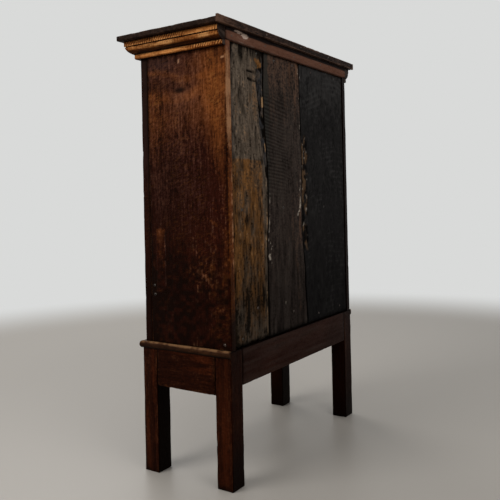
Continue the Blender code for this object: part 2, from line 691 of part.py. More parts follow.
def make_door_lock(stile, edge_x, level, axis):
    lock_high_x = edge_x - LOCK_INSET
    key_x = lock_high_x - LOCK_WIDTH / 2
    back = FACE_Y + DOOR_THICKNESS + SEAT_GAP
    board("door_lock", (lock_high_x - LOCK_WIDTH, back, level - LOCK_HEIGHT / 2),
          (lock_high_x, back + LOCK_THICKNESS, level + LOCK_HEIGHT / 2), IRON, axis)
    rim = [(ESCUTCHEON_WIDTH / 2 * x, ESCUTCHEON_HEIGHT / 2 * y)
           for x, y in arc((0.0, 0.0), 1.0, 0.0, 345.0, 23)]
    mesh = outline_mesh("door_escutcheon", [rim, keyhole_outline()], ESCUTCHEON_THICKNESS)
    plate = add_part("door_escutcheon", mesh, IRON, (key_x, FACE_Y - SEAT_GAP, level), axis)
    plate.rotation_euler = (math.pi / 2, 0.0, 0.0)
    keyway = box_cutter(
        "keyway",
        (key_x - KEYHOLE_SLOT / 2, FACE_Y - CUT_OVERRUN, level - KEYHOLE_LENGTH),
        (key_x + KEYHOLE_SLOT / 2, FACE_Y + DOOR_THICKNESS + CUT_OVERRUN, level + KEYHOLE_RADIUS),
    )
    combine(stile, keyway, "DIFFERENCE")
    seat = (key_x, FACE_Y, level + DOOR_KNOB_RISE)
    spigot_hole("door_knob_hole", stile, seat, DOOR_THICKNESS)
    knob("door_knob", seat, DARK_OAK, axis)


def make_hinge_leaf(name, middle, reach, knuckles, axis=None):
    # A plate on the front face, with a tab and a bored knuckle at each stretch in knuckles.
    # reach is the plate's far edge from the pin's axis, below zero on the frame's side.
    x, y, z = middle
    side = math.copysign(1.0, reach)
    clear = side * (KNUCKLE_RADIUS + SEAT_GAP)
    plate_back = FACE_Y - SEAT_GAP
    plate_front = plate_back - HINGE_PLATE
    near, far = sorted((x + clear, x + reach))
    leaf = plain_box(name, (near, plate_front, z - HINGE_HEIGHT / 2),
                     (far, plate_back, z + HINGE_HEIGHT / 2), IRON, axis)
    bore = round_cutter(f"{name}_bore", PIN_RADIUS + SEAT_GAP, 2 * HINGE_HEIGHT, middle, along_y=False)
    for count, (low, high) in enumerate(knuckles):
        left, right = sorted((x, x + 2 * clear))
        tab = box_cutter(f"{name}_tab_{count}", (left, plate_front, z + low), (right, plate_back, z + high))
        centre = (x, y, z + (low + high) / 2)
        barrel = round_cutter(f"{name}_knuckle_{count}", KNUCKLE_RADIUS, high - low, centre, along_y=False)
        combine(leaf, tab, "UNION")
        combine(leaf, barrel, "UNION")
    combine(leaf, bore, "DIFFERENCE")


def make_hinges(axis):
    # Each hinge has three knuckles of like height: the door's is the middle one.
    half = HINGE_HEIGHT / 2
    inner_half = half / 3
    outer = [(-half, -inner_half - SEAT_GAP), (inner_half + SEAT_GAP, half)]
    inner = [(-inner_half, inner_half)]
    for name, level in (
        ("hinge_lower", SILL_Z + DOOR_GAP + HINGE_INSET),
        ("hinge_upper", HEAD_Z - DOOR_GAP - HINGE_INSET),
    ):
        middle = (HINGE_X, HINGE_Y, level)
        frame_reach = -KNUCKLE_RADIUS - SEAT_GAP - HINGE_FRAME_LEAF
        door_reach = KNUCKLE_RADIUS + SEAT_GAP + HINGE_DOOR_LEAF
        make_hinge_leaf(f"{name}_frame_leaf", middle, frame_reach, outer)
        make_hinge_leaf(f"{name}_door_leaf", middle, door_reach, inner, axis)
        pin = rod_mesh(f"{name}_pin", PIN_RADIUS, HINGE_HEIGHT + 2 * PIN_HEAD)
        add_part(f"{name}_pin", pin, IRON, middle)


def main():
    make_stand()
    make_beads()
    boards, housings = make_level_boards()
    make_pigeonholes(boards)
    make_sides(housings)
    make_back_boards()
    make_front_frame()
    make_cornice()
    make_top()
    make_drawers()
    door_axis = add_axis("door_hinge_axis", (HINGE_X, HINGE_Y, (SILL_Z + HEAD_Z) / 2))
    make_door(door_axis)
    make_hinges(door_axis)


main()
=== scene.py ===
import math

import bpy
import numpy as np
from mathutils import Matrix, Vector


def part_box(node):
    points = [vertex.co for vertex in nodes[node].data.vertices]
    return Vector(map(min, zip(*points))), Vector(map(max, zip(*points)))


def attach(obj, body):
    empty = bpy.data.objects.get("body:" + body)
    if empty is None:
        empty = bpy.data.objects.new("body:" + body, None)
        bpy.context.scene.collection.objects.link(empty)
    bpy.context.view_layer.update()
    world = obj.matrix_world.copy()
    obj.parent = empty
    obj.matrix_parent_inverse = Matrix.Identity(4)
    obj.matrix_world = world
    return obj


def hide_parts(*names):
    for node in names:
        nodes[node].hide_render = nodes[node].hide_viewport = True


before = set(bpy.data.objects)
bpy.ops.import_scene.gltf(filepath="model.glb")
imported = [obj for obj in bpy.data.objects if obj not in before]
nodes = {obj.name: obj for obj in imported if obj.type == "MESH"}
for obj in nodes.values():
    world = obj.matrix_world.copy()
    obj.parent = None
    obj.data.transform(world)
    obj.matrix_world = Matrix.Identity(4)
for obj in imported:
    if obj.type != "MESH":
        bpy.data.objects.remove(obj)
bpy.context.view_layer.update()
carcase = "carcase_and_stand"
seatGap = 0.0003  # between pieces that seat on each other
print("frame loaded:", len(nodes), "nodes")


# Small tools for colours and shader nodes

def linear(hexColour):
    srgb = np.array([int(hexColour[n:n + 2], 16) for n in (1, 3, 5)]) / 255
    value = np.where(srgb <= 0.04045, srgb / 12.92, ((srgb + 0.055) / 1.055) ** 2.4)
    return (*value, 1.0)


def addNode(tree, kind, inputs=None, output=0, **settings):
    # Adds a shader node with its settings, values and links, and gives one of its outputs.
    node = tree.nodes.new("ShaderNode" + kind)
    for key, value in settings.items():
        setattr(node, key, value)
    for key, value in (inputs or {}).items():
        if isinstance(value, bpy.types.NodeSocket):
            tree.links.new(value, node.inputs[key])
        else:
            node.inputs[key].default_value = value
    return node.outputs[output]


def rubbedEdges(tree, radius, full):
    # The further the normal of a rounded edge leaves the true one, the nearer to 1.
    bent = addNode(tree, "Bevel", {"Radius": radius}, samples=6)
    true = addNode(tree, "NewGeometry", output="Normal")
    along = addNode(tree, "VectorMath", {0: bent, 1: true}, "Value", operation="DOT_PRODUCT")
    return addNode(tree, "MapRange", {"Value": along, "From Min": 0.99, "From Max": full})


def newMaterial(name):
    material = bpy.data.materials.new(name)
    material.use_nodes = True
    return material, material.node_tree, material.node_tree.nodes["Principled BSDF"]


# Small tools for masks on points and for meshes

def softNoise(points, cell, seed):
    # Lattice noise from -1 to 1: every cell corner has its own height, scattered from its place by large
    # odd numbers, and a point blends its eight corners by smooth steps.
    spot = points / np.asarray(cell) + seed * 17.37
    base = np.floor(spot).astype(np.int64)
    part = spot - base
    part = part * part * (3 - 2 * part)
    total = np.zeros(len(points))
    for corner in np.ndindex(2, 2, 2):
        x, y, z = (base + corner).T
        mixed = x * 73856093 ^ y * 19349663 ^ z * 83492791 ^ (seed * 7919 + 101)
        mixed = (mixed ^ (mixed >> 13)) * 1274126177
        height = ((mixed >> 11) & 0xffff) / 32767.5 - 1
        total += height * np.prod(np.where(corner, part, 1 - part), axis=1)
    return total


def fade(value, low, high):
    # Smooth step: 0 at low, 1 at high, and low may be the larger one.
    share = np.clip((value - low) / (high - low), 0, 1)
    return share * share * (3 - 2 * share)


def patchy(points, cell, seed, low, high):
    # Soft noise cut to patches: 0 below low, 1 above high.
    return fade(softNoise(points, cell, seed), low, high)


def bell(value, middle, width):
    # The bell curve: 1 at middle, about a third at one width from it.
    return np.exp(-((value - middle) / width) ** 2)


def closeTo(distance, reach):
    # 1 at no distance, dying away to about a third over each reach.
    return np.exp(-distance / reach)


def turnedTo(normal, axis, sign=1):
    # 1 where the surface faces along an axis.
    return fade(sign * normal[:, axis], 0.2, 0.6)


def spotAt(across, up, middle, radii):
    # A soft round spot: the bell curve of the distance from middle, measured in radii.
    return np.exp(-((across - middle[0]) / radii[0]) ** 2 - ((up - middle[1]) / radii[1]) ** 2)


def spotSum(rows, across, up):
    # Soft spots added up, each with its middle, radii and level.
    return sum(level * spotAt(across, up, middle, radii) for middle, radii, level in rows)


def addMesh(name, points, faces, material, attributes=None, smooth=35):
    # A closed surface turned outwards: its volume is the sum of the triple products of the fans of
    # its faces, and where that is below zero every face is reversed.
    volume = 0.0
    for group in faces:
        for n in range(1, group.shape[1] - 1):
            a, b, c = (points[group[:, k]] for k in (0, n, n + 1))
            volume += np.einsum("ij,ij->", a, np.cross(b, c))
    faces = [group[:, ::-1] if volume < 0 else group for group in faces]
    corners = np.concatenate([group.ravel() for group in faces])
    counts = np.concatenate([np.full(len(group), group.shape[1]) for group in faces])
    mesh = bpy.data.meshes.new(name)
    mesh.vertices.add(len(points))
    mesh.loops.add(len(corners))
    mesh.polygons.add(len(counts))
    mesh.vertices.foreach_set("co", points.astype(np.float32).ravel())
    mesh.loops.foreach_set("vertex_index", corners.astype(np.int32))
    mesh.polygons.foreach_set("loop_start", (np.cumsum(counts) - counts).astype(np.int32))
    mesh.update(calc_edges=True)
    for key, values in (attributes or {}).items():
        kind, field = ("FLOAT_VECTOR", "vector") if values.ndim == 2 else ("FLOAT", "value")
        data = mesh.attributes.new(key, kind, "POINT").data
        data.foreach_set(field, values.astype(np.float32).ravel())
    mesh.shade_smooth()
    mesh.set_sharp_from_angle(angle=math.radians(smooth))
    mesh.materials.append(material)
    piece = bpy.data.objects.new(name, mesh)
    bpy.context.scene.collection.objects.link(piece)
    return piece


def tubeQuads(numbers):
    # Quads between rows of points, each row closed to a ring.
    after = np.roll(numbers, -1, 1)
    return np.stack([numbers[:-1], after[:-1], after[1:], numbers[1:]], -1).reshape(-1, 4)


def settle(piece, body, slot, *stoodFor):
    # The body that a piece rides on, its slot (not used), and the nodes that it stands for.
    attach(piece, body)
    if stoodFor:
        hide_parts(*stoodFor)
    return piece


# Oak. Riven and sawn boards, waxed for three centuries or left bare: long soft streaks, mottling, open
# pores and pale ray flecks along the grain, arrises rubbed light, dirt held in joints and hollows; the soil and
# wear masks also carry painted shade and painted highlights.
# Each pattern: width and length in mm, and its slant across the grain in radians. Pores and fibres are
# drawn a few times too coarse, so that they show at about 2 mm a pixel.
oakPatterns = dict(
    streak=(11, 150, 0.0),
    fibre=(2.4, 24, 0.0),
    mottle=(7, 11, 0.5),
    grit=(4.0, 4.0, 0.3),
    blotch=(50, 90, 0.0),
    pore=(1.8, 11, 0.0),
    fleck=(3.2, 15, 0.35),
    fleckPatch=(50, 80, 0.0),
)
# Cut-outs from a pattern: where the mask starts, where it is full, and its strength.
oakCuts = dict(pore=(0.58, 0.70, 0.65), fleck=(0.58, 0.68, 0.60), fleckPatch=(0.48, 0.62, 1.0))
# The masks that a piece carries on its points: break-up by the tone, start, full, strength.
oakPoints = dict(
    glow=(0.40, 0.25, 1.25, 1.0),
    dust=(0.35, 0.25, 1.15, 0.90),
    wear=(0.60, 0.45, 1.30, 0.95),
    soil=(0.35, 0.25, 1.15, 0.97),
)
# The same on bare wood, where every mask follows the fibres.
roughPoints = dict(
    glow=(0.90, 0.55, 1.40, 1.0),
    dust=(0.80, 0.55, 1.35, 0.95),
    wear=(0.80, 0.90, 1.50, 0.95),
    soil=(0.90, 0.60, 1.45, 0.97),
)
# On sawn wood the dust, and the dirt with its painted shade, lie across them.
sawnPoints = {**roughPoints, "dust": (0.35, 0.25, 1.15, 0.90), "soil": (0.35, 0.25, 1.15, 0.95)}
# Shares of the patterns in the tone.
oakTone = dict(streak=0.26, fibre=0.30, mottle=0.16, blotch=0.16, grit=0.12)
oakRelief = dict(
    crispness=0.62,  # how much fine detail the patterns keep
    arris=(0.003, 0.80),  # rubbed edges of kept solids: radius, and the cosine at which they are full
    faint=0.2,  # what is left of flecks where nothing glows
    pore=-0.7,  # depth of the pores against the tone
    height=0.0008,
)


def oakFinish(name, look):
    # The tone is the sum of the patterns by their shares, stretched by the spread about a half. It picks
    # between dark and pale, and it breaks up the masks that are laid over one after the other.
    material, tree, shader = newMaterial(name)
    if "turn" in look:  # a solid kept from the frame has no grain of its own, so its place is turned to it
        place = addNode(tree, "TexCoord", output="Object")
        place = addNode(tree, "Mapping", {"Vector": place, "Rotation": look["turn"]})
    else:
        place = addNode(tree, "Attribute", output="Vector", attribute_name="grain")
    mask = {}
    for key, (across, along, slant) in {**oakPatterns, **look.get("patterns", {})}.items():
        size = (across / 1000, across / 1000, along / 1000)
        inputs = {"Vector": place, "Rotation": (slant, slant, 0.0), "Scale": size}
        spot = addNode(tree, "Mapping", inputs, vector_type="TEXTURE")
        inputs = {"Vector": spot, "Scale": 1.0, "Detail": 4.0, "Roughness": oakRelief["crispness"]}
        mask[key] = addNode(tree, "TexNoise", inputs)
    for key, (low, high, strength) in {**oakCuts, **look.get("cuts", {})}.items():
        inputs = {"Value": mask[key], "From Min": low, "From Max": high, "To Max": strength}
        mask[key] = addNode(tree, "MapRange", inputs, interpolation_type="SMOOTHSTEP")
    mask["fleck"] = addNode(tree, "Math", {0: mask["fleck"], 1: mask["fleckPatch"]}, operation="MULTIPLY")
    tone = 0.0
    for key, share in look.get("tone", oakTone).items():
        tone = addNode(tree, "Math", {0: mask[key], 1: share, 2: tone}, operation="MULTIPLY_ADD")
    inputs = {"Value": tone, "From Min": 0.5 - look["spread"], "From Max": 0.5 + look["spread"]}
    tone = addNode(tree, "MapRange", inputs)
    for key, (breakUp, low, high, strength) in {**oakPoints, **look.get("points", {})}.items():
        if key == "wear" and "turn" in look:
            held = rubbedEdges(tree, *oakRelief["arris"])
        else:
            held = addNode(tree, "Attribute", output="Fac", attribute_name=key)
        ragged = addNode(tree, "Math", {0: tone, 1: breakUp, 2: held}, operation="MULTIPLY_ADD")
        inputs = {"Value": ragged, "From Min": low, "From Max": high, "To Max": strength}
        mask[key] = addNode(tree, "MapRange", inputs)
    plain, glowing = (addNode(tree, "Mix", {0: tone, 6: linear(dark), 7: linear(pale)}, 2, data_type="RGBA")
                      for dark, pale in (look["base"], look["warm"]))
    colour = addNode(tree, "Mix", {0: mask["glow"], 6: plain, 7: glowing}, 2, data_type="RGBA")
    inputs = {0: mask["glow"], 1: 1 - oakRelief["faint"], 2: oakRelief["faint"]}
    shown = addNode(tree, "Math", inputs, operation="MULTIPLY_ADD")
    mask["fleck"] = addNode(tree, "Math", {0: mask["fleck"], 1: shown}, operation="MULTIPLY")
    for key in ("fleck", "pore", "dust", "wear", "soil"):
        colour = addNode(tree, "Mix", {0: mask[key], 6: colour, 7: linear(look[key])}, 2, data_type="RGBA")
    tree.links.new(colour, shader.inputs["Base Color"])
    smoothest, roughest = look["rough"]
    rough = addNode(tree, "MapRange", {"Value": tone, "To Min": roughest, "To Max": smoothest})
    tree.links.new(rough, shader.inputs["Roughness"])
    relief = addNode(tree, "Math", {0: mask["pore"], 1: oakRelief["pore"], 2: tone}, operation="MULTIPLY_ADD")
    inputs = {"Strength": look["bump"], "Distance": oakRelief["height"], "Height": relief}
    tree.links.new(addNode(tree, "Bump", inputs), shader.inputs["Normal"])
    shader.inputs["Specular IOR Level"].default_value = look["shine"]
    shader.inputs["Specular Tint"].default_value = linear(look.get("tint", "#ffffff"))
    shader.inputs["IOR"].default_value = 1.5
    return material


# For each oak: its colours, dark and pale, as base and where it glows; then how it takes light.
oakLooks = dict(
    # sides, front frame, door and drawer fronts: dark wax over brown oak, orange where it is rubbed thin,
    # with rays that cross the grain in short ripples
    darkOak=dict(
        name="waxed_dark_oak", slot="dark_oak", base=("#070100", "#38140a"), warm=("#331304", "#8c4e22"),
        fleck="#8a5528", pore="#0e0502", dust="#604b47", wear="#a07452", soil="#0c0301", spread=0.105,
        rough=(0.42, 0.60), bump=0.5, shine=0.05, tint="#c49274",
        cuts=dict(fleck=(0.50, 0.64, 0.50), fleckPatch=(0.42, 0.56, 1.0)),
        patterns=dict(fleck=(13, 3.2, 0.3), fibre=(4.2, 30, 0.0), mottle=(8, 6, 0.5), grit=(6.5, 5, 0.3)),
        tone=dict(streak=0.18, fibre=0.30, mottle=0.17, blotch=0.15, grit=0.20)),
    # the stand: a redder wax, darker still
    standOak=dict(
        name="waxed_red_brown_oak", slot="dark_oak", base=("#120502", "#2a1007"), warm=("#260e05", "#461d0c"),
        fleck="#4c2712", pore="#0a0301", dust="#2c2420", wear="#6b4024", soil="#060201", spread=0.085,
        rough=(0.44, 0.62), bump=0.45, shine=0.04, tint="#b86f40", patterns=dict(grit=(5, 4, 0.3)),
        tone=dict(streak=0.22, fibre=0.30, mottle=0.14, blotch=0.12, grit=0.22)),
    # mouldings: worked across the rays, so slanting tool marks and flecks cross the golden wood
    goldenOak=dict(
        name="rubbed_golden_oak", slot="golden_oak", base=("#240c02", "#70360f"), warm=("#7c3a0a", "#e89c56"),
        fleck="#e2a35c", pore="#1d0b03", dust="#37302b", wear="#e6ac6e", soil="#0d0301", spread=0.10,
        rough=(0.44, 0.62), bump=0.6, shine=0.07, tint="#d8a070",
        patterns=dict(fleck=(2.4, 16, 0.9), fleckPatch=(30, 50, 0.0)),
        cuts=dict(fleck=(0.52, 0.64, 0.60), fleckPatch=(0.40, 0.56, 1.0))),
    # the bead on the stand, handled and dusted brown
    beadOak=dict(
        name="rubbed_brown_oak", slot="golden_oak", base=("#1a0a04", "#3e220e"), warm=("#44250f", "#6c452a"),
        fleck="#7a5430", pore="#120703", dust="#37302b", wear="#7f5c3c", soil="#0a0401", spread=0.10,
        rough=(0.50, 0.68), bump=0.5, shine=0.05),
    # the bare back: grey where it weathered, golden where it stayed dry; its streaks are drawn wide, as the
    # back is seen at a slant
    weatheredOak=dict(
        name="weathered_grey_oak", slot="grey_oak", base=("#18110b", "#857565"), warm=("#291606", "#97683b"),
        fleck="#8f7d6c", pore="#18120d", dust="#2f3033", wear="#a8845f", soil="#0c0906", spread=0.098,
        rough=(0.82, 0.95), bump=0.9, shine=0.02, points=roughPoints, cuts=dict(pore=(0.55, 0.66, 0.55)),
        patterns=dict(streak=(16, 90, 0.0), fibre=(6.5, 42, 0.0), mottle=(13, 20, 0.3), pore=(4, 36, 0.0),
                      grit=(8, 5.5, 0.0)),
        tone=dict(streak=0.18, fibre=0.32, mottle=0.10, blotch=0.10, grit=0.30)),
    # the middle board, brown under soot that lies in its saw marks
    sootyOak=dict(
        name="sawn_sooty_oak", slot="black_oak", base=("#15100e", "#4d423c"), warm=("#2d1d15", "#755643"),
        fleck="#51453d", pore="#120e0c", dust="#32302c", wear="#aea293", soil="#080605", spread=0.096,
        rough=(0.80, 0.93), bump=0.8, shine=0.02, points=sawnPoints,
        patterns=dict(streak=(16, 110, 0.0), fibre=(6, 36, 0.0), mottle=(12, 18, 0.3), pore=(4, 18, 0.0),
                      grit=(8, 5, 0.0)),
        tone=dict(streak=0.20, fibre=0.24, mottle=0.12, blotch=0.14, grit=0.30)),
    # the third board, black with tar and golden where a strip tore off
    blackOak=dict(
        name="tarred_black_oak", slot="black_oak", base=("#131212", "#2a2827"), warm=("#2f2016", "#68513a"),
        fleck="#3a3634", pore="#0b0a0a", dust="#373534", wear="#8c8379", soil="#040303", spread=0.12,
        rough=(0.72, 0.88), bump=0.6, shine=0.025, points=roughPoints,
        patterns=dict(streak=(16, 120, 0.0), fibre=(6, 18, 0.0), mottle=(11, 9, 0.3), pore=(4, 10, 0.0)),
        tone=dict(streak=0.16, fibre=0.30, mottle=0.36, blotch=0.18)),
    # the top, blackened and handled smooth
    topOak=dict(
        name="blackened_top_oak", slot="black_oak", base=("#100b09", "#261b16"), warm=("#2a1b13", "#4f3629"),
        fleck="#4a3323", pore="#080504", dust="#2a2624", wear="#7d5f4e", soil="#050302", spread=0.11,
        rough=(0.50, 0.70), bump=0.5, shine=0.05, tint="#c8a48c"),
    # the frieze board at the back, planed smooth and red
    friezeOak=dict(
        name="planed_red_oak", slot="red_oak", base=("#44291d", "#624132"), warm=("#553424", "#765140"),
        fleck="#6d4c3e", pore="#2c1812", dust="#3a332e", wear="#c2ab9b", soil="#0a0403", spread=0.14,
        rough=(0.58, 0.72), bump=0.3, shine=0.05),
    # everything inside: dry, never waxed
    insideOak=dict(
        name="dry_inside_oak", slot="plain_oak", base=("#4a2e18", "#7c5531"), warm=("#6a4626", "#9a7043"),
        fleck="#a37d50", pore="#2b190c", dust="#57493a", wear="#ab8558", soil="#1c1008", spread=0.11,
        rough=(0.68, 0.84), bump=0.6, shine=0.06),
)
oak = {key: oakFinish(look["name"], look) for key, look in oakLooks.items()}
# Shelves run along x and uprights along z, as solids kept from the frame.
shelfOak = oakFinish("dry_inside_oak_level", {**oakLooks["insideOak"], "turn": (0.0, math.pi / 2, 0.0)})
uprightOak = oakFinish("dry_inside_oak_upright", {**oakLooks["insideOak"], "turn": (0.0, 0.0, 0.35)})


# Wrought iron: hammered black scale, brown rust in the hollows, grey metal on the rubbed edges.
ironLook = dict(
    scale="#2b2826", rust="#4a2c1b", bare="#7c756d",
    hollows=(9, 0.48, 0.66),  # size in mm, start and full
    pits=(2.2, 0.50, 0.70),
    edge=(0.0016, 0.75),  # rubbed edges: radius, and the cosine at which they are full
    metallic=(0.9, 0.35),  # on scale and in rust
    roughness=(0.48, 0.78),  # between the pits and in them
)


def ironFinish(name, look):
    # Scale turns to rust in the hollows, edges are bared, and pits dent and roughen all of it.
    material, tree, shader = newMaterial(name)
    place = addNode(tree, "TexCoord", output="Object")
    mask = {}
    for key in ("hollows", "pits"):
        size, low, high = look[key]
        spot = addNode(tree, "Mapping", {"Vector": place, "Scale": (size / 1000,) * 3}, vector_type="TEXTURE")
        cloud = addNode(tree, "TexNoise", {"Vector": spot, "Scale": 1.0, "Detail": 4.0})
        mask[key] = addNode(tree, "MapRange", {"Value": cloud, "From Min": low, "From Max": high})
    inputs = {0: mask["hollows"], 6: linear(look["scale"]), 7: linear(look["rust"])}
    colour = addNode(tree, "Mix", inputs, 2, data_type="RGBA")
    inputs = {0: rubbedEdges(tree, *look["edge"]), 6: colour, 7: linear(look["bare"])}
    tree.links.new(addNode(tree, "Mix", inputs, 2, data_type="RGBA"), shader.inputs["Base Color"])
    for socket, key in (("Metallic", "hollows"), ("Roughness", "pits")):
        start, end = look[socket.lower()]
        value = addNode(tree, "MapRange", {"Value": mask[key], "To Min": start, "To Max": end})
        tree.links.new(value, shader.inputs[socket])
    bump = addNode(tree, "Bump", {"Strength": 0.5, "Distance": 0.0004, "Height": mask["pits"]})
    tree.links.new(bump, shader.inputs["Normal"])
    return material


iron = ironFinish("wrought_iron", ironLook)
print("materials made:", len(bpy.data.materials))


# Boards. A board is the grid on a box's six faces, drawn onto arrises that are worn round.
boardLook = dict(
    along=0.006,  # grid step along the grain
    across=0.0032,  # grid step across it
    ease=0.0016,  # middle radius of the worn arrises
    uneven=0.55,  # how much that radius wanders
    wave=0.00035,  # the surface's rise and fall
    waveCell=(0.045, 0.16),  # its size across and along the grain
    chip=0.0012,  # depth of knocks on the arrises
    chipReach=0.0025,
    wearWidth=0.0035,  # reach of the rubbed colour from an arris
    wearLevel=0.75,
    endSoil=0.35,  # dirt at the ends, where a board meets its neighbours
    endReach=0.004,
    glowLevel=0.30,
)


def gridLines(low, high, step, ease, extra=()):
    # Close together at both arrises, evenly spaced between them.
    near = ease * np.array([0, 0.25, 0.6])
    inner = np.linspace(low + ease, high - ease, max(2, round((high - low - 2 * ease) / step) + 1))
    return np.unique(np.concatenate([low + near, inner, high - near, extra]))


def boxGrid(lines):
    # Six sheets of quads on a lattice of grid lines; sheets share their edge points by lattice number.
    sizes = [len(line) for line in lines]
    numbers = np.arange(np.prod(sizes)).reshape(sizes)
    quads = []
    for axis in range(3):
        for end in (0, -1):
            sheet = np.take(numbers, end, axis)
            quad = np.stack([sheet[:-1, :-1], sheet[1:, :-1], sheet[1:, 1:], sheet[:-1, 1:]], -1)
            quad = quad.reshape(-1, 4)
            quads.append(quad[:, ::-1] if (axis != 1) == (end == 0) else quad)
    used, quads = np.unique(np.concatenate(quads), return_inverse=True)
    spot = np.unravel_index(used, sizes)
    return np.stack([line[number] for line, number in zip(lines, spot)], 1), quads.reshape(-1, 4)


def wornBoard(name, low, high, grain, finish, seed, touch=None, reshape=None, extra=((), (), ()), **changes):
    # Each point keeps its distance, the arris radius, from the nearest point of the board's core.
    # Then it moves along its normal by waves, knocks and what touch gives.
    look = {**boardLook, **changes}
    low, high = np.array(low, float), np.array(high, float)
    thin = (high - low).min()
    steps = [look["along"] if axis == grain else look["across"] for axis in range(3)]
    ease = min(look["ease"], 0.45 * thin)
    points, quads = boxGrid([gridLines(low[n], high[n], steps[n], ease, extra[n]) for n in range(3)])
    toFaces = np.minimum(points - low, high - points)
    arris = np.sort(toFaces, axis=1)[:, 1]
    radius = np.minimum(ease * (1 + look["uneven"] * softNoise(points, 0.03, seed)), 0.48 * thin)
    core = np.clip(points, low + radius[:, None], high - radius[:, None])
    away = points - core
    normal = away / np.maximum(np.linalg.norm(away, axis=1, keepdims=True), 1e-9)
    points = core + normal * radius[:, None]
    cell = np.full(3, look["waveCell"][0])
    cell[grain] = look["waveCell"][1]
    knocks = patchy(points, 0.014, seed + 3, 0.45, 0.9) * closeTo(arris, look["chipReach"])
    lift = look["wave"] * softNoise(points, cell, seed + 1) - look["chip"] * knocks
    rub = 0.62 + 0.5 * softNoise(points, 0.05, seed + 5)
    ends = closeTo(toFaces[:, grain], look["endReach"])
    masks = dict(
        wear=look["wearLevel"] * closeTo(arris, look["wearWidth"]) * rub,
        soil=look["endSoil"] * ends + 0.10 * softNoise(points, 0.06, seed + 7),
        glow=look["glowLevel"] * (1 + softNoise(points, cell * 1.4, seed + 9)),
    )
    if touch:
        for key, value in touch(points, normal, arris).items():
            if key == "lift":
                lift = lift + value
            else:
                masks[key] = masks.get(key, 0.0) + value
    points = points + normal * lift[:, None]
    order = [(grain + 1) % 3, (grain + 2) % 3, grain]
    shift = np.random.default_rng(seed).uniform(0, 3, 3)
    masks["grain"] = points[:, order] + shift
    if reshape:
        points = reshape(points)
    return addMesh(name, points, [quads], oak[finish], masks)


def boardFor(node, body, finish, grain, seed, low=None, high=None, **more):
    # A worn board in the place of one solid of the frame.
    nodeLow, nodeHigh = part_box(node)
    piece = wornBoard(f"worn_{node}", low or nodeLow, high or nodeHigh, grain, finish, seed, **more)
    return settle(piece, body, oakLooks[finish]["slot"], node)


# The right side, places in metres as (y, z) on its face: warm clouds and a swirl round a knot above,
# near black at the foot, partly with painted shade.
sideLow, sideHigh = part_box("side_right")
boardLow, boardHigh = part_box("back_board_1")
friezeLow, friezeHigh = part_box("back_frieze")
sideMarks = dict(
    # soft spots: middle, radii and level
    clouds=[((0.104, 0.862), (0.034, 0.070), 0.82), ((0.055, 0.835), (0.045, 0.045), 0.45),
            ((-0.045, 0.800), (0.045, 0.050), 0.30), ((0.112, 0.740), (0.022, 0.080), 0.55),
            ((0.075, 0.925), (0.050, 0.022), 0.35), ((0.128, 0.520), (0.014, 0.120), 0.45)],
    flecks=[((0.092, 0.585), (0.028, 0.050), 0.62)],  # rays in ripples
    # painted shade spots
    shade=[((-0.05, 0.47), (0.085, 0.20), 0.34), ((0.03, 0.36), (0.14, 0.09), 0.20),
           ((-0.04, 0.62), (0.075, 0.14), 0.26), ((-0.055, 0.940), (0.050, 0.015), 0.45),
           ((-0.050, 0.880), (0.045, 0.012), 0.35)],
    haze=[((-0.055, 0.930), (0.060, 0.035), 0.17), ((0.025, 0.850), (0.045, 0.045), 0.10),
          ((-0.020, 0.680), (0.080, 0.110), 0.05)],  # greyer patches over the wax
    # pale figure: the line it follows as y and z, its width and level
    stripes=[((-0.090, -0.010, 0.041, 0.094, 0.130), (0.917, 0.900, 0.887, 0.896, 0.905), 0.008, 0.60),
             ((-0.090, -0.065, 0.003, 0.040, 0.080), (0.858, 0.856, 0.849, 0.856, 0.868), 0.013, 0.55)],
    # single marks: middle and radii
    knot=((0.008, 0.866), (0.024, 0.009)),
    scuff=((0.066, 0.452), (0.040, 0.044)),
    chip=((0.006, 0.931), (0.0035, 0.0065)),
    # a painted glint on the rear arris: a small pale spot
    glint=((0.1270, 0.9245), (0.0050, 0.0022)),
    strip=(-0.0715, -0.0430, 0.409, 0.560),  # a strip let in: left, right, foot and head
    scored=0.0040,  # from the back arris to a dark scored line
    corner=0.0026,  # reach of what happens at the back arris
    rebateStep=0.00004,  # between the two grid lines at a rebate's corner
)


def waxFigure(points):
    # How thin the wax is rubbed: clouds, figured stripes, rippled rays, and crumbs of it at the foot; the
    # lightening towards the top is partly painted light.
    y, z = points[:, 1], points[:, 2]
    # brighter towards the top: patina and painted light
    glow = 0.34 * fade(z, 0.48, 0.95) - 0.36
    glow = glow + spotSum(sideMarks["clouds"], y, z) * (0.8 + 0.3 * softNoise(points, (1, 0.012, 0.030), 43))
    figure = 0.65 + 0.6 * softNoise(points, (1, 0.020, 0.009), 42)
    for stripeY, stripeZ, width, level in sideMarks["stripes"]:
        glow = glow + level * figure * bell(z, np.interp(y, stripeY, stripeZ), width)
    slanted = np.stack([points[:, 0], y, z + 0.5 * y], 1)
    glow = glow + spotSum(sideMarks["flecks"], y, z) * patchy(slanted, (0.1, 0.026, 0.0058), 41, 0.0, 0.6)
    crumbs = fade(z, 0.60, 0.46) * patchy(points, (1, 0.008, 0.0065), 47, 0.0, 0.9)
    return glow + crumbs * (0.22 + 0.26 * fade(y, 0.0, 0.08) * fade(z, 0.38, 0.46))


def sideDirtAndShade(points):
    # Darker towards the foot and the front, dirt with painted shade; dark in the knot; and painted shade spots.
    y, z = points[:, 1], points[:, 2]
    soil = 0.36 * fade(z, 0.56, 0.42) + 0.45 * fade(y, -0.060, -0.080) * fade(z, 0.52, 0.42)
    soil = soil + fade(z, 0.60, 0.46) * (0.10 + 0.60 * softNoise(points, (1, 0.009, 0.008), 46))
    return soil + 0.9 * fade(spotAt(y, z, *sideMarks["knot"]), 0.3, 1.0) + spotSum(sideMarks["shade"], y, z)


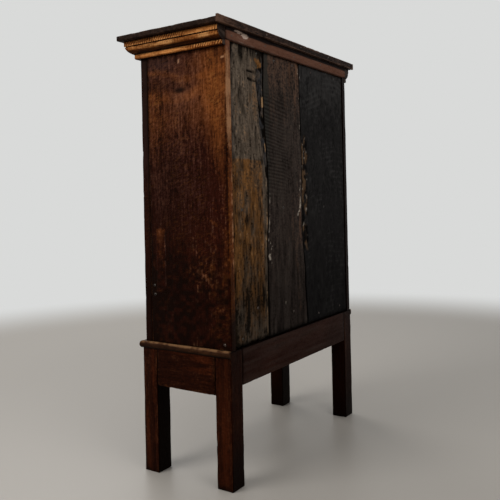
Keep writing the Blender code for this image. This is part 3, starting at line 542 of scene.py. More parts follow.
def letInStrip(y, z):
    # The strip itself and the pale line along its rear joint.
    left, right, foot, head = sideMarks["strip"]
    strip = fade(y, left, left + 0.003) * fade(y, right, right - 0.001)
    strip = strip * fade(z, foot, foot + 0.012) * fade(z, head, head - 0.006)
    joint = bell(y, right - 0.001, 0.0014) * fade(z, foot, foot + 0.03) * fade(z, head, head - 0.02)
    return strip, joint


def rearLip(points, rubbed, high):
    # The rear edge beside the back boards: a pale ridge above and a pale inner arris, wear with painted
    # highlights, and grime with painted shade below.
    z = points[:, 2]
    toBoard = points[:, 0] - boardHigh[0]
    inner = bell(toBoard, 0.0030, 0.0025) * fade(z, 0.37, 0.44)
    ridge = bell(toBoard, 0.0100 + 0.002 * softNoise(points, (1, 1, 0.03), 25), 0.0060)
    grimeAndShade = 0.55 * fade(z, 0.50, 0.43) + 0.45 * fade(z, 0.40, 0.34)
    return dict(
        glow=0.45 + 0.20 * rubbed,
        dust=0.16 * high + 0.35 * fade(z, 0.93, 0.945),
        soil=grimeAndShade,
        wear=1.25 * high * ridge * (0.6 + 0.4 * rubbed) + 1.10 * inner * rubbed - 0.5 * grimeAndShade,
    )


def touchRightSide(points, normal, arris):
    # Marks of the outer face and of the rear lip, each laid on where the surface turns that way.
    x, y, z = points.T
    outside, back = turnedTo(normal, 0), fade(normal[:, 1], 0.3, 0.7)
    strip, joint = letInStrip(y, z)
    scuff = spotAt(y, z, *sideMarks["scuff"]) * patchy(points, (1, 0.0055, 0.0048), 44, -0.5, 0.6)
    scored = bell(y, sideHigh[1] - sideMarks["scored"], 0.0022) * patchy(points, (1, 1, 0.06), 17, -0.5, 0.3)
    scored = scored * fade(z, 0.46, 0.60) * fade(z, 0.87, 0.84)
    seam = closeTo(y - sideLow[1], 0.0026)
    chip = fade(spotAt(y, z, *sideMarks["chip"]), 0.4, 0.6)
    # painted glint, laid on as a small pale wear spot
    glint = fade(spotAt(y, z, *sideMarks["glint"]), 0.3, 0.6)
    rubbed = softNoise(points, (1, 1, 0.022), 23) + 0.5 * softNoise(points, (1, 1, 0.007), 24)
    rubbed = fade(rubbed, -0.35, 0.5)
    high = fade(z, 0.68, 0.78) * fade(z, 0.955, 0.925)
    corner = closeTo(np.hypot(x - sideHigh[0], y - sideHigh[1]), sideMarks["corner"])
    haze = 0.085 * fade(z, 0.50, 0.62) * (1 - 0.7 * fade(y, 0.06, 0.11)) + spotSum(sideMarks["haze"], y, z)
    face = dict(
        glow=waxFigure(points) + 0.75 * scuff + strip * (0.12 + 0.28 * fade(z, 0.52, 0.56)),
        dust=haze + 0.35 * joint + 0.20 * scuff + chip,
        soil=sideDirtAndShade(points) - 0.35 * strip + 0.9 * scored + 0.95 * seam,
        wear=0.25 * joint + 0.28 * scuff + 0.8 * chip + 1.2 * glint - seam,
    )
    lip = rearLip(points, rubbed, high)
    marks = {key: outside * face[key] + back * lip[key] for key in face}
    marks["wear"] = marks["wear"] - 0.9 * corner * (1 - high)
    marks["lift"] = outside * (0.0005 * strip - 0.0007 * scored - 0.0008 * chip) - 0.0010 * corner * rubbed
    return marks


def touchLeftSide(points, normal, arris):
    # Warm clouds and a lightening towards the top, partly painted light; painted shade at the foot; a dark seam
    # at the front and a dark rear edge.
    x, y, z = points.T
    outside, back = turnedTo(normal, 0, -1), fade(normal[:, 1], 0.3, 0.7)
    clouds = spotSum(sideMarks["clouds"], 0.03 - y, z + 0.03)  # those of the right side, turned and shifted
    clouds = clouds * (0.8 + 0.3 * softNoise(points, (1, 0.012, 0.030), 45))
    shade = 0.45 * spotAt(y, z, (0.06, 0.40), (0.07, 0.12)) + 0.35 * fade(z, 0.40, 0.28)
    seam = closeTo(y - sideLow[1], 0.0016)
    corner = closeTo(np.hypot(x + sideHigh[0], y - sideHigh[1]), sideMarks["corner"])
    return dict(
        glow=outside * (0.40 * fade(z, 0.45, 0.95) - 0.34 + 0.8 * clouds) - 0.6 * back,
        soil=outside * (shade + 0.95 * seam) + 1.1 * back,
        dust=outside * 0.12 * fade(z, 0.55, 0.70),
        wear=0.2 * corner - outside * seam - 0.8 * back,
    )


def cutRebates(points):
    # The sides step back for the back boards and, at the head, for the frieze.
    x, y, z = points.T
    rebateX, rebateY = boardHigh[0] + seatGap + sideMarks["rebateStep"] / 4, boardLow[1] - seatGap
    headY, headZ = friezeLow[1] - seatGap, friezeLow[2] - seatGap
    y = np.where((np.abs(x) < rebateX) & (y > rebateY), rebateY, y)
    y = np.where((z > headZ) & (y > headY), headY, y)
    return np.stack([x, y, z], 1)


rebateLines = np.array([0.0, sideMarks["rebateStep"]]) + boardHigh[0] + seatGap
headLines = np.array([-sideMarks["rebateStep"], 0.0]) + friezeLow[2] - seatGap
sideRows = dict(
    side_right=(touchRightSide, rebateLines, 0.0022, 0.0042),
    side_left=(touchLeftSide, -rebateLines[::-1], 0.003, 0.006),
)
for seed, (node, (touch, lines, across, along)) in enumerate(sideRows.items(), 11):
    boardFor(node, carcase, "darkOak", 2, seed, touch=touch, reshape=cutRebates, across=across, along=along,
             extra=(lines, (), headLines), ease=0.0018, glowLevel=0.22)
print("sides made")


# The back boards: three wide boards with torn edges, seen from behind as x from right to left.
boards = {number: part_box(f"back_board_{number}") for number in (1, 2, 3)}
backFoot, backHead = boards[1][0][2], boards[1][1][2]
backLook = dict(
    gap=0.0008,  # between two boards
    # how a torn joint wanders beside a straight line: heights, and places across
    wander={1: ((0.48, 0.52, 0.564, 0.62, 0.675, 0.725, 0.775, 0.824, 0.874, 0.924),
                (0.0, -0.0015, -0.005, -0.0085, -0.010, -0.008, -0.002, 0.002, 0.003, 0.0)),
            2: ((0.34, 0.40, 0.45, 0.48, 0.52, 0.575, 0.65, 0.70, 0.784, 0.88),
                (-0.0015, 0.003, 0.002, 0.006, 0.008, 0.0075, 0.004, 0.002, 0.001, 0.002))},
    tear={1: 0.0024, 2: 0.0020},  # depth of the bites out of each joint's edges
    bitten=0.004,  # depth of the crumbled foot of the first board
    # first board: chisel cuts from end to end, a tan spot, a splinter as middle, foot and head, the height
    # below which it is golden, where its dusty outer strip begins
    cuts=[((0.2053, 0.9077), (0.1767, 0.9076)), ((0.2034, 0.8907), (0.1750, 0.8874))],
    tan=((0.157, 0.930), (0.017, 0.013)),
    splinter=(0.143, 0.828, 0.858),
    goldBelow=0.708,
    outer=0.2575,
    # its dark broken margin: the edge as heights and places across
    marginZ=(0.600, 0.655, 0.692, 0.724, 0.757, 0.790, 0.822, 0.861, 0.886, 0.915, 0.932),
    marginX=(0.122, 0.130, 0.140, 0.148, 0.155, 0.160, 0.160, 0.168, 0.172, 0.171, 0.150),
    # second board: saw marks, wood bared beside the first joint, a white scrape, lines as place, width and
    # level, where its dusty margin begins
    sawStep=0.0084,
    sawLean=0.105,
    sawDepth=0.0006,
    scrape=[(0.130, 0.523), (0.116, 0.506), (0.129, 0.4875), (0.121, 0.472)],
    white=[(-0.026, 0.665), (-0.021, 0.630), (-0.024, 0.602), (-0.010, 0.578)],
    lines=[(0.060, 0.007, 1.0), (0.078, 0.006, 0.6)],
    margin=0.116,
    # third board: scratches from end to end, the width of its torn strip, the step of its saw arcs
    scratches=[((-0.160, 0.509), (-0.262, 0.553)), ((-0.093, 0.603), (-0.133, 0.617)),
               ((-0.150, 0.430), (-0.205, 0.470))],
    torn=0.027,
    arcStep=0.013,
)


def jointLine(number, z):
    # Straight from foot to head, and its wander beside that.
    foot, head = boards[number][0][0], boards[number + 1][1][0] + backLook["gap"]
    straight = foot + (head - foot) * (z - backFoot) / (backHead - backFoot)
    return straight + np.interp(z, *backLook["wander"][number])


def boardEdges(number, z):
    # Where a board's left and right edges are at each height.
    left = jointLine(number, z) if number < 3 else np.full(len(z), boards[3][0][0])
    right = jointLine(number - 1, z) - backLook["gap"] if number > 1 else np.full(len(z), boards[1][1][0])
    return left, right


def boardX(number, points):
    # A point keeps its share of the way from the board's left edge to its right one.
    low, high = boards[number][0][0], boards[number][1][0]
    left, right = boardEdges(number, points[:, 2])
    return left + (points[:, 0] - low) / (high - low) * (right - left)


def toLine(x, z, start, end):
    # Distance of each point from the line between two places.
    start, end = np.array(start), np.array(end)
    run = end - start
    share = np.clip(((x - start[0]) * run[0] + (z - start[1]) * run[1]) / (run @ run), 0, 1)
    return np.hypot(x - start[0] - share * run[0], z - start[1] - share * run[1])


def alongLines(x, z, lines, width):
    # The bell curves of the distances from some lines, added up.
    return sum(bell(toLine(x, z, *ends), 0.0, width) for ends in lines)


def alongPath(x, z, path, width):
    # 1 on a bent line through places, falling as a bell curve of the distance from it.
    return bell(np.min([toLine(x, z, *ends) for ends in zip(path, path[1:])], axis=0), 0.0, width)


def tornEdge(x, z, edge, side, depth, seed):
    # Moves the stretch next to an edge inwards by long and short noise along z; the move dies away over
    # three depths. The depth is nothing at the inner face, so a fissure doesn't go through.
    tall = np.stack([np.zeros(len(z)), np.zeros(len(z)), z], 1)
    bite = 0.40 + 0.6 * softNoise(tall, 0.050, seed) + 0.45 * softNoise(tall, 0.011, seed + 1)
    return x - side * depth * np.clip(bite, 0.08, 1.2) * closeTo(np.abs(x - edge), 3 * depth)


def flakes(points, toEdge, reach, seed):
    # Pale chips beside a torn edge: fine noise cut high, dying away from the edge.
    chips = softNoise(points, (0.007, 1, 0.012), seed) + 0.5 * softNoise(points, (0.004, 1, 0.005), seed + 1)
    return fade(chips, 0.35, 0.75) * closeTo(np.abs(toEdge), reach)


def edgeDirt(points, normal, toEdges):
    # Black on the sawn edges themselves and in a narrow band beside them, which widens into fissures.
    fissure = softNoise(points, (1, 1, 0.045), 58) + 0.5 * softNoise(points, (1, 1, 0.012), 57)
    ragged = 0.0011 + 0.0036 * fade(fissure, 0.0, 0.6) * fade(points[:, 2], 0.60, 0.70)
    return fade(np.abs(normal[:, 0]), 0.3, 0.7) + sum(closeTo(np.abs(edge), ragged) for edge in toEdges)


def touchBoard1(points, normal, arris):
    # Grey above and golden below and darker towards the foot, partly painted shade; a dark broken margin, two
    # cuts, a tan spot, a splinter and a painted highlight by the joint.
    x, z = boardX(1, points), points[:, 2]
    left, right = boardEdges(1, z)
    toJoint = x - left
    behind = turnedTo(normal, 1)
    ragged = 0.003 * softNoise(points, (1, 1, 0.016), 34) + 0.0015 * softNoise(points, (1, 1, 0.005), 35)
    toMargin = np.interp(z, backLook["marginZ"], backLook["marginX"]) + ragged - x
    margin = fade(toMargin, -0.0012, 0.0022)
    outer = fade(x - backLook["outer"] + 3 * ragged, -0.002, 0.006)
    gold = 0.72 + 0.15 * fade(z, 0.58, 0.66) + 0.40 * softNoise(points, (0.024, 1, 0.060), 32)
    gold = gold * fade(backLook["goldBelow"] - z + 2 * ragged, -0.003, 0.005) * fade(x, 0.140, 0.160)
    gold = gold * (1 - 0.25 * fade(z, 0.42, 0.32))
    streaks = softNoise(points, (0.010, 1, 0.060), 36) + 0.7 * softNoise(points, (0.006, 1, 0.025), 39)
    patches = softNoise(points, (0.035, 1, 0.10), 31)
    threads = softNoise(points, (0.0046, 1, 0.015), 40) * (1 - 0.5 * fade(z, 0.52, 0.40))  # single fibres
    hung = fade(z, 0.905, 0.945) * fade(streaks, 0.6, -0.4)  # dark runs from under the frieze
    # darker towards the foot: dirt and painted shade
    footGrimeAndShade = 0.42 * fade(z, 0.48, 0.36) * (1 - 0.50 * fade(z, 0.39, 0.34))
    soil = 0.10 + 0.30 * fade(z, 0.68, 0.56) + footGrimeAndShade - 0.20 * patches
    soil = soil + 0.45 * np.clip(-streaks, 0, 1) + 0.55 * hung + 0.42 * threads
    cut = alongLines(x, z, backLook["cuts"], 0.0023)
    tan = fade(spotAt(x, z, *backLook["tan"]) + 0.35 * softNoise(points, (0.006, 1, 0.010), 38), 0.3, 0.7)
    middle, foot, head = backLook["splinter"]
    splinter = bell(x, middle, 0.0040) * fade(z, foot, foot + 0.006) * fade(z, head, head - 0.005)
    # painted highlight: the lower edge by the joint, lit pale
    paleEdge = bell(toJoint, 0.0065, 0.0030) * fade(z, 0.46, 0.42)
    chips = flakes(points, toMargin + 0.001, 0.003, 26) * fade(z, 0.62, 0.66)
    chips = chips + 0.7 * flakes(points, toJoint - 0.004, 0.004, 28)
    rotten = softNoise(points, (0.006, 1, 0.022), 27) + 0.5 * softNoise(points, (0.005, 1, 0.008), 29)
    rotten = margin * fade(rotten, 0.0, 0.5)
    dusty = margin * (1 - tan) * (1 - splinter) * (0.80 + 0.35 * softNoise(points, (0.007, 1, 0.010), 37))
    sunk = 0.0018 * np.clip(cut, 0, 1) + 0.0014 * margin + 0.0012 * rotten
    return dict(
        lift=behind * (0.0004 * softNoise(points, (0.005, 1, 0.12), 33) + 0.0012 * splinter - sunk),
        glow=behind * (1.2 * gold + 1.6 * tan + 0.5 * splinter - 0.26 + 0.25 * streaks + 0.30 * patches),
        dust=behind * (dusty + 0.42 * outer * fade(z, 0.45, 0.72)),
        soil=behind * ((soil + 1.1 * cut + 0.20 * outer + 0.9 * rotten) * (1 - tan) - splinter)
        + edgeDirt(points, normal, (toJoint, right - x)) * (1 - splinter),
        wear=behind * (0.75 * tan * fade(streaks, -0.5, 0.6) + 1.7 * splinter + 0.95 * paleEdge + 1.2 * chips
                       + 0.45 * fade(streaks, 0.6, 1.2) + 0.60 * fade(-threads, 0.35, 0.9)),
    )


def sawMarks(points):
    # Half of 1 plus the sine of the height, less a lean across, counted in saw steps.
    phase = (points[:, 2] - backLook["sawLean"] * points[:, 0]) / backLook["sawStep"]
    phase = phase + 0.45 * softNoise(points, (0.05, 1, 0.05), 51)
    return 0.5 + 0.5 * np.sin(2 * math.pi * phase)


def touchBoard2(points, normal, arris):
    # Soot in slanting saw marks, bared and scraped wood by the joints, pale lines at the foot.
    x, z = boardX(2, points), points[:, 2]
    left, right = boardEdges(2, z)
    behind = turnedTo(normal, 1)
    sawn = fade(x + 0.02 * softNoise(points, (1, 1, 0.04), 49), -0.02, 0.06)
    sawn = sawn * fade(z, 0.55, 0.68) * fade(z, 0.91, 0.84)
    saw = sawMarks(points) * (0.12 + 0.88 * sawn)
    rough = patchy(points, (0.005, 1, 0.007), 52, -0.40, 0.25)
    scrape = rough * alongPath(x, z, backLook["scrape"], 0.0050)
    white = rough * alongPath(x, z, backLook["white"], 0.0040)
    lines = sum(level * bell(x, place, width) for place, width, level in backLook["lines"])
    lines = lines * fade(z, 0.335, 0.37) * fade(z, 0.485, 0.435)
    lines = lines * patchy(points, (0.005, 1, 0.022), 55, -0.1, 0.5)
    paleEdge = bell(right - x, 0.0055, 0.0034) * fade(z, 0.42, 0.50) * fade(z, 0.68, 0.63)
    paleEdge = paleEdge * patchy(points, (0.006, 1, 0.016), 45, -0.3, 0.5)
    chips = flakes(points, x - left - 0.004, 0.006, 46) * fade(z, 0.58, 0.66)
    chips = chips + 0.6 * flakes(points, right - x - 0.004, 0.004, 48)
    margin = fade(x - backLook["margin"] + 0.004 * softNoise(points, (1, 1, 0.014), 57), -0.001, 0.003)
    margin = margin * fade(z, 0.60, 0.66)
    streaks = softNoise(points, (0.009, 1, 0.060), 59) + 0.6 * softNoise(points, (0.006, 1, 0.020), 47)
    rust = patchy(points, (0.013, 1, 0.10), 50, 0.0, 0.7) * fade(x, 0.03, 0.01)
    plain = 1 - 0.8 * sawn
    ridges = 0.0003 * softNoise(points, (0.006, 1, 0.1), 54)
    # the lightening towards the head and the darkening towards the foot are partly painted light and shade
    return dict(
        lift=behind * (ridges - backLook["sawDepth"] * saw - 0.0008 * margin),
        glow=behind * (0.40 * rust - 0.30 + 0.50 * fade(z, 0.72, 0.95)),
        dust=behind * (0.85 * margin + 0.45 * (1 - saw) * sawn + 0.35 * np.clip(streaks, 0, 1) * plain),
        soil=behind * (0.62 * saw * sawn + 0.55 * fade(z, 0.66, 0.36) - 0.30 * streaks * plain)
        + edgeDirt(points, normal, (x - left, right - x)),
        wear=behind * (1.35 * scrape + 1.15 * white + 1.05 * lines + 0.8 * chips + 0.75 * paleEdge),
    )


def touchBoard3(points, normal, arris):
    # Black with faint saw arcs and scratches, and a golden torn strip along the joint.
    x, z = boardX(3, points), points[:, 2]
    left, right = boardEdges(3, z)
    behind = turnedTo(normal, 1)
    ragged = 0.006 * softNoise(points, (1, 1, 0.030), 66) + 0.003 * softNoise(points, (1, 1, 0.008), 67)
    torn = fade(x - right + backLook["torn"] + 0.006 * fade(z, 0.70, 0.77) + 1.2 * ragged, -0.001, 0.003)
    torn = torn * fade(z + ragged, 0.475, 0.50) * fade(z - ragged, 0.787, 0.777)
    fibres = patchy(points, (0.006, 1, 0.026), 68, -0.4, 0.4)
    split = softNoise(points, (0.006, 1, 0.013), 60) + 0.6 * softNoise(points, (1, 1, 0.05), 63)
    split = fade(split, 0.0, 0.45)
    sparks = patchy(points, (0.006, 1, 0.008), 61, 0.35, 0.7)
    # saw arcs: a sine of the height plus a parabola across, broken up by patches
    phase = (z + 0.5 * x + 1.2 * x * x) / backLook["arcStep"] + 0.6 * softNoise(points, (0.08, 1, 0.08), 70)
    arcs = np.sin(2 * math.pi * phase) * patchy(points, (0.07, 1, 0.06), 69, -0.3, 0.5)
    scratch = alongLines(x, z, backLook["scratches"], 0.0015)
    scratch = scratch * patchy(points, (0.010, 1, 0.010), 78, -0.4, 0.3)
    specks = patchy(points, (0.006, 1, 0.006), 79, 0.55, 0.85)
    mottle = softNoise(points, (0.010, 1, 0.014), 74)
    chips = flakes(points, right - x - 0.004, 0.005, 76) * (1 - torn)
    ridges = 0.00025 * softNoise(points, (0.009, 1, 0.15), 56)
    # the darkening towards the foot is partly painted shade
    return dict(
        lift=behind * (ridges - torn * (0.0016 + 0.0008 * split) + 0.0002 * arcs),
        glow=behind * (1.3 * torn * (0.30 + 0.95 * fibres) - 0.60),
        dust=behind * (0.40 * fade(arcs, 0.0, 0.9) + 0.58 * fade(z, 0.78, 0.95) + 0.35 * mottle
                       + 0.5 * scratch),
        soil=behind * (0.60 * fade(z, 0.74, 0.34) + torn * (1.15 * split - 0.30) - 0.25 * mottle)
        + edgeDirt(points, normal, (right - x,)),
        wear=behind * (1.30 * torn * sparks + 0.8 * chips + 0.45 * scratch + 0.30 * specks
                       - 0.4 * fade(x, -0.2, -0.26)),
    )


def shapeBoard(number):
    # Draws a straight board onto its slanting, wandering edges and tears them.
    def shape(points):
        z = points[:, 2]
        left, right = boardEdges(number, z)
        x = boardX(number, points)
        inside, outside = boards[number][0][1], boards[number][1][1]
        opened = 0.02 + 0.98 * fade(points[:, 1], 0.6 * inside + 0.4 * outside, outside - 0.001)
        shut = 0.46 * backLook["gap"] * (1 - opened)  # the boards all but meet at their inner faces
        x = x + shut * ((number > 1) * closeTo(right - x, 0.003) - (number < 3) * closeTo(x - left, 0.003))
        if number < 3:
            x = tornEdge(x, z, left, -1, opened * backLook["tear"][number], 59 + 2 * number)
        if number > 1:
            x = tornEdge(x, z, right, 1, opened * backLook["tear"][number - 1], 64 + 2 * number)
        foot = (number == 1) * closeTo(z - backFoot, 0.008)
        lifted = backLook["bitten"] * foot * patchy(points * (1, 0, 0), 0.007, 62, -0.4, 0.6)
        return np.stack([x, points[:, 1], z + lifted], 1)
    return shape


backRows = {
    1: ("weatheredOak", touchBoard1, 0.0018, 0.0024),
    2: ("sootyOak", touchBoard2, 0.0021, 0.0016),
    3: ("blackOak", touchBoard3, 0.0026, 0.0030),
}
for number, (finish, touch, across, along) in backRows.items():
    boardFor(f"back_board_{number}", carcase, finish, 2, 20 + number, touch=touch, reshape=shapeBoard(number),
             across=across, along=along, ease=0.0014, wearLevel=0.10, glowLevel=0.2, endSoil=1.0)
print("back boards made")


# Top board, the lath along its back edge and the frieze under it.
topMarks = dict(
    ring=(0.11, -0.03, 0.042),  # left by a pot: middle and radius
    worn=[((-0.02, -0.09), (0.22, 0.05), 1.0), ((-0.17, 0.04), (0.08, 0.06), 0.7)],
    leaf=((0.217, 0.9808), (0.0145, 0.0060)),  # a leaf-shaped chip in the frieze, and its tail
    tail=((0.241, 0.9857), (0.0180, 0.0036)),
    shelter=0.0095,  # height of the frieze that the lath's painted shadow covers
)


def touchTop(points, normal, arris):
    # Worn patches, and the ring as a bell curve of the distance from its circle.
    x, y = points[:, 0], points[:, 1]
    above = turnedTo(normal, 2)
    ringX, ringY, radius = topMarks["ring"]
    ring = bell(np.hypot(x - ringX, y - ringY), radius, 0.002) * patchy(points, 0.05, 71, -0.3, 0.3)
    return dict(glow=above * (0.8 * spotSum(topMarks["worn"], x, y) + 0.25), wear=above * 0.45 * ring,
                soil=-0.2 * above)


def touchLath(points, normal, arris):
    # Browner and more rubbed at its ends.
    x = points[:, 0]
    ends = fade(np.abs(x), 0.25, 0.33) * (x > 0) + fade(-x, 0.315, 0.327)
    return dict(glow=0.9 * ends - 0.1, wear=0.3 * ends)


def touchFrieze(points, normal, arris):
    # A pale chip with its tail, a dark line along the foot, and the lath's shadow painted in a band under it.
    x, z = points[:, 0], points[:, 2]
    behind = turnedTo(normal, 1)
    frayed = 0.10 * softNoise(points, (0.006, 1, 0.003), 73)
    leaf, tail = (fade(spotAt(x, z, *topMarks[part]) + frayed, 0.38, 0.50) for part in ("leaf", "tail"))
    chip = np.maximum(leaf, tail)
    # the lath's painted shadow: a dark band along the frieze's head
    under = z - friezeHigh[2] + topMarks["shelter"] + 0.0010 * softNoise(points, (0.03, 1, 1), 75)
    lines = 0.9 * closeTo(z - friezeLow[2], 0.0022) + 1.1 * fade(under, 0.0, 0.0020)
    return dict(lift=-0.0014 * behind * chip, wear=behind * np.maximum(1.5 * leaf, 0.75 * tail),
                glow=behind * 0.25, soil=behind * lines * (1 - chip))


boardFor("top_board", carcase, "topOak", 0, 31, touch=touchTop, ease=0.0022, wearLevel=0.5)
boardFor("top_back_lath", carcase, "topOak", 0, 32, touch=touchLath, ease=0.0014, across=0.002, along=0.004,
         wearLevel=0.7)
boardFor("back_frieze", carcase, "friezeOak", 0, 33, touch=touchFrieze, ease=0.0009, across=0.002,
         along=0.004, wearLevel=0.25, endSoil=0.6)
print("top made")


# Front frame, door and drawers
knobSpots = [np.mean(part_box(f"{body}_knob"), 0)[[0, 2]] for body in ("door", "drawer_left", "drawer_right")]
frontMarks = dict(
    # soft spots as (x, z): middle, radii and level
    handled=[((0.20, 0.72), (0.07, 0.12), 1.0), ((-0.1, 0.86), (0.14, 0.07), 0.6)],
    pulled=[((0.14, 0.36), (0.06, 0.035), 0.5)],  # on both drawers
    rubbed=[((0.235, 0.70), (0.03, 0.05), 0.25)],
    knobRing=(0.011, 0.005),  # dirt round a knob: radius and width
    edge=(0.284, 0.288),  # how far out the stiles' outer edges are
)


def touchFront(points, normal, arris):
    # Bright where hands go, dark round the knobs, at the foot and on the outer edges.
    x, y, z = points.T
    ahead = turnedTo(normal, 1, -1)
    handled = spotSum(frontMarks["handled"], x, z) + spotSum(frontMarks["pulled"], np.abs(x), z)
    handled = handled + 0.3 * softNoise(points, (0.09, 1, 0.09), 96)
    outer = fade(np.abs(normal[:, 0]), 0.5, 0.8) * fade(np.abs(x), *frontMarks["edge"])
    outer = outer * np.where(x > 0, 1.0, 0.35)
    gloomy = 0.25 * fade(np.abs(x), 0.16, 0.28) + 0.30 * fade(z, 0.42, 0.30)
    gloomy = gloomy + 0.15 * softNoise(points, (0.05, 1, 0.05), 97)
    rings = sum(bell(np.hypot(x - knobX, z - knobZ), *frontMarks["knobRing"]) for knobX, knobZ in knobSpots)
    seam = closeTo(sideLow[1] - y, 0.0022)
    high = fade(z, 0.55, 0.80)
    return dict(
        glow=ahead * (0.02 + 0.75 * handled) - 0.55 * outer,
        soil=outer * (0.95 * seam + 0.45 + 0.25 * high + 0.35 * fade(z, 0.50, 0.42))
        + ahead * (gloomy + 0.65 * rings),
        dust=outer * 0.26 * high + ahead * 0.08,
        wear=ahead * spotSum(frontMarks["rubbed"], x, z) - 0.45 * outer,
    )


for seed, node in enumerate(("front_stile_left", "front_stile_right"), 41):
    boardFor(node, carcase, "darkOak", 2, seed, touch=touchFront, ease=0.0013, wearLevel=0.45, along=0.005)
for seed, node in enumerate(("front_rail_top", "front_rail_middle", "front_rail_bottom"), 44):
    boardFor(node, carcase, "darkOak", 0, seed, touch=touchFront, ease=0.0013)
boardFor("drawer_partition", carcase, "darkOak", 2, 48)

panelLow, panelHigh = (np.array(corner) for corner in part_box("door_panel"))
panelLook = dict(tongue=0.011, slope=0.026, rise=0.0055, step=0.0022, fillet=0.0012)
fieldInset = panelLook["tongue"] + panelLook["slope"]


def touchPanel(points, normal, arris):
    # The field stands forward behind a sloping border: the border's height is the distance from the
    # panel's edge, less the tongue, over the slope's width; a small upright step takes it to the field.
    x, z = points[:, 0], points[:, 2]
    inset = np.minimum(np.minimum(x - panelLow[0], panelHigh[0] - x),
                       np.minimum(z - panelLow[2], panelHigh[2] - z))
    share = np.clip((inset - panelLook["tongue"]) / panelLook["slope"], 0, 1)
    field = fade(inset, fieldInset - panelLook["fillet"] / 2, fieldInset + panelLook["fillet"] / 2)
    ahead = (normal[:, 1] < -0.6) * 1.0
    rubbed = patchy(points, 0.03, 98, -0.6, 0.6) * bell(inset, fieldInset + 0.0012, 0.0016)
    # painted shade along the foot of the field's step
    crease = bell(inset, fieldInset - 0.0014, 0.0018)
    rim = closeTo(np.maximum(inset - 0.009, 0), 0.005)
    marks = touchFront(points, normal, arris)
    marks["lift"] = ahead * ((panelLook["rise"] - panelLook["step"]) * share + panelLook["step"] * field)
    marks["wear"] = marks["wear"] + 0.55 * ahead * rubbed
    marks["soil"] = marks["soil"] + ahead * (0.8 * rim + 0.55 * crease + 0.15 * (1 - field))
    return marks


# The slab's own front lies behind the field, which touchPanel raises again.
slabLow = panelLow + (0.0, panelLook["rise"], 0.0)
stepLines = fieldInset + panelLook["fillet"] * np.array([-2.0, -0.5, 0.0, 0.5, 2.0])
linesX, linesZ = (np.concatenate([panelLow[axis] + stepLines, panelHigh[axis] - stepLines])
                  for axis in (0, 2))
boardFor("door_panel", "door", "darkOak", 2, 51, low=list(slabLow), high=list(panelHigh), touch=touchPanel,
         across=0.003, along=0.003, ease=0.0008, wearLevel=0.0, endSoil=0.0, extra=(linesX, (), linesZ))
for seed, node in enumerate(("door_stile_hinge", "door_stile_lock"), 52):
    boardFor(node, "door", "darkOak", 2, seed, touch=touchFront, ease=0.0015)
for seed, node in enumerate(("door_rail_top", "door_rail_bottom"), 55):  # cut off at the stiles
    low, high = (list(corner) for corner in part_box(node))
    low[0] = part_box("door_stile_hinge")[1][0] + seatGap
    high[0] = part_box("door_stile_lock")[0][0] - seatGap
    boardFor(node, "door", "darkOak", 0, seed, low=low, high=high, touch=touchFront, ease=0.0015)

for number, hand in enumerate(("left", "right")):
    body = f"drawer_{hand}"
    boardFor(f"{body}_front", body, "darkOak", 0, 61 + number, touch=touchFront, ease=0.0016, along=0.004)
    boardFor(f"{body}_side_left", body, "insideOak", 1, 63 + number)
    boardFor(f"{body}_side_right", body, "insideOak", 1, 65 + number)
    boardFor(f"{body}_back", body, "insideOak", 0, 67 + number)
    boardFor(f"{body}_bottom", body, "insideOak", 0, 69 + number, ease=0.0008)
for seed, node in enumerate(("bottom_board", "drawer_divider_board"), 72):
    boardFor(node, carcase, "insideOak", 0, seed, across=0.006, along=0.01)
print("front, door and drawers made")


# Stand: legs and rails, flush, the side rubbed red and the feet scuffed.
standLook = dict(
    middle=0.01,  # about half way from its front to its back
    # size of the drawn-out rubbing on legs, side rails and front rail
    legCell=(0.02, 0.009, 0.14), railCell=(0.02, 0.14, 0.012), frontCell=(0.14, 0.02, 0.012),
    scratch=[((0.118, 0.2262), (0.114, 0.2300))],  # on the back rail
)


def standMarks(cell):
    # Rubbed red outside; painted shade, near black, behind and inside; dark on ledges.
    def touch(points, normal, arris):
        x, y, z = points.T
        outward = normal[:, 0] * np.sign(x)
        inward = -normal[:, 1] * np.sign(y - standLook["middle"])
        lit, behind, ledge = fade(outward, 0.2, 0.6), turnedTo(normal, 1), turnedTo(normal, 2)
        # painted shade on the faces turned inwards
        hidden = fade(-outward, 0.2, 0.6) + fade(inward, 0.2, 0.6)
        foot = fade(z, 0.02, 0.0) * patchy(points, 0.012, 81, -0.4, 0.4)
        drawn = patchy(points, cell, 82, -0.1, 0.6) * fade(arris, 0.004, 0.012)
        # painted shade on the faces turned to the back, deepest low down, and on outer faces near the back
        gloomy = behind * (0.45 + 0.35 * fade(z, 0.20, 0.0)) + 0.16 * lit * fade(y, 0.08, 0.11)
        return dict(
            glow=lit * (0.05 + 0.85 * drawn) - 0.2,
            soil=0.5 * foot + gloomy + 0.6 * hidden + 1.2 * ledge + 0.25 * fade(z, 0.10, 0.02),
            wear=0.25 * foot - 0.3 * hidden - ledge,
        )
    return touch


def touchBackRail(points, normal, arris):
    # A dusty face drawn out along the grain, with one scratch.
    behind = turnedTo(normal, 1)
    scratch = alongLines(points[:, 0], points[:, 2], standLook["scratch"], 0.0012)
    drawn = softNoise(points, (0.10, 1, 0.007), 83)
    return dict(wear=behind * 1.6 * scratch - 0.5, dust=behind * (0.38 - 0.35 * drawn),
                soil=behind * (0.24 + 0.30 * drawn) + 1.2 * turnedTo(normal, 2),
                lift=-0.0004 * behind * scratch)


touchLeg, touchRail = standMarks(standLook["legCell"]), standMarks(standLook["railCell"])
touchFrontRail = standMarks(standLook["frontCell"])
for seed, node in enumerate(("leg_front_left", "leg_front_right", "leg_back_left", "leg_back_right"), 81):
    boardFor(node, carcase, "standOak", 2, seed, touch=touchLeg, ease=0.0021, along=0.004, wearLevel=0.4)
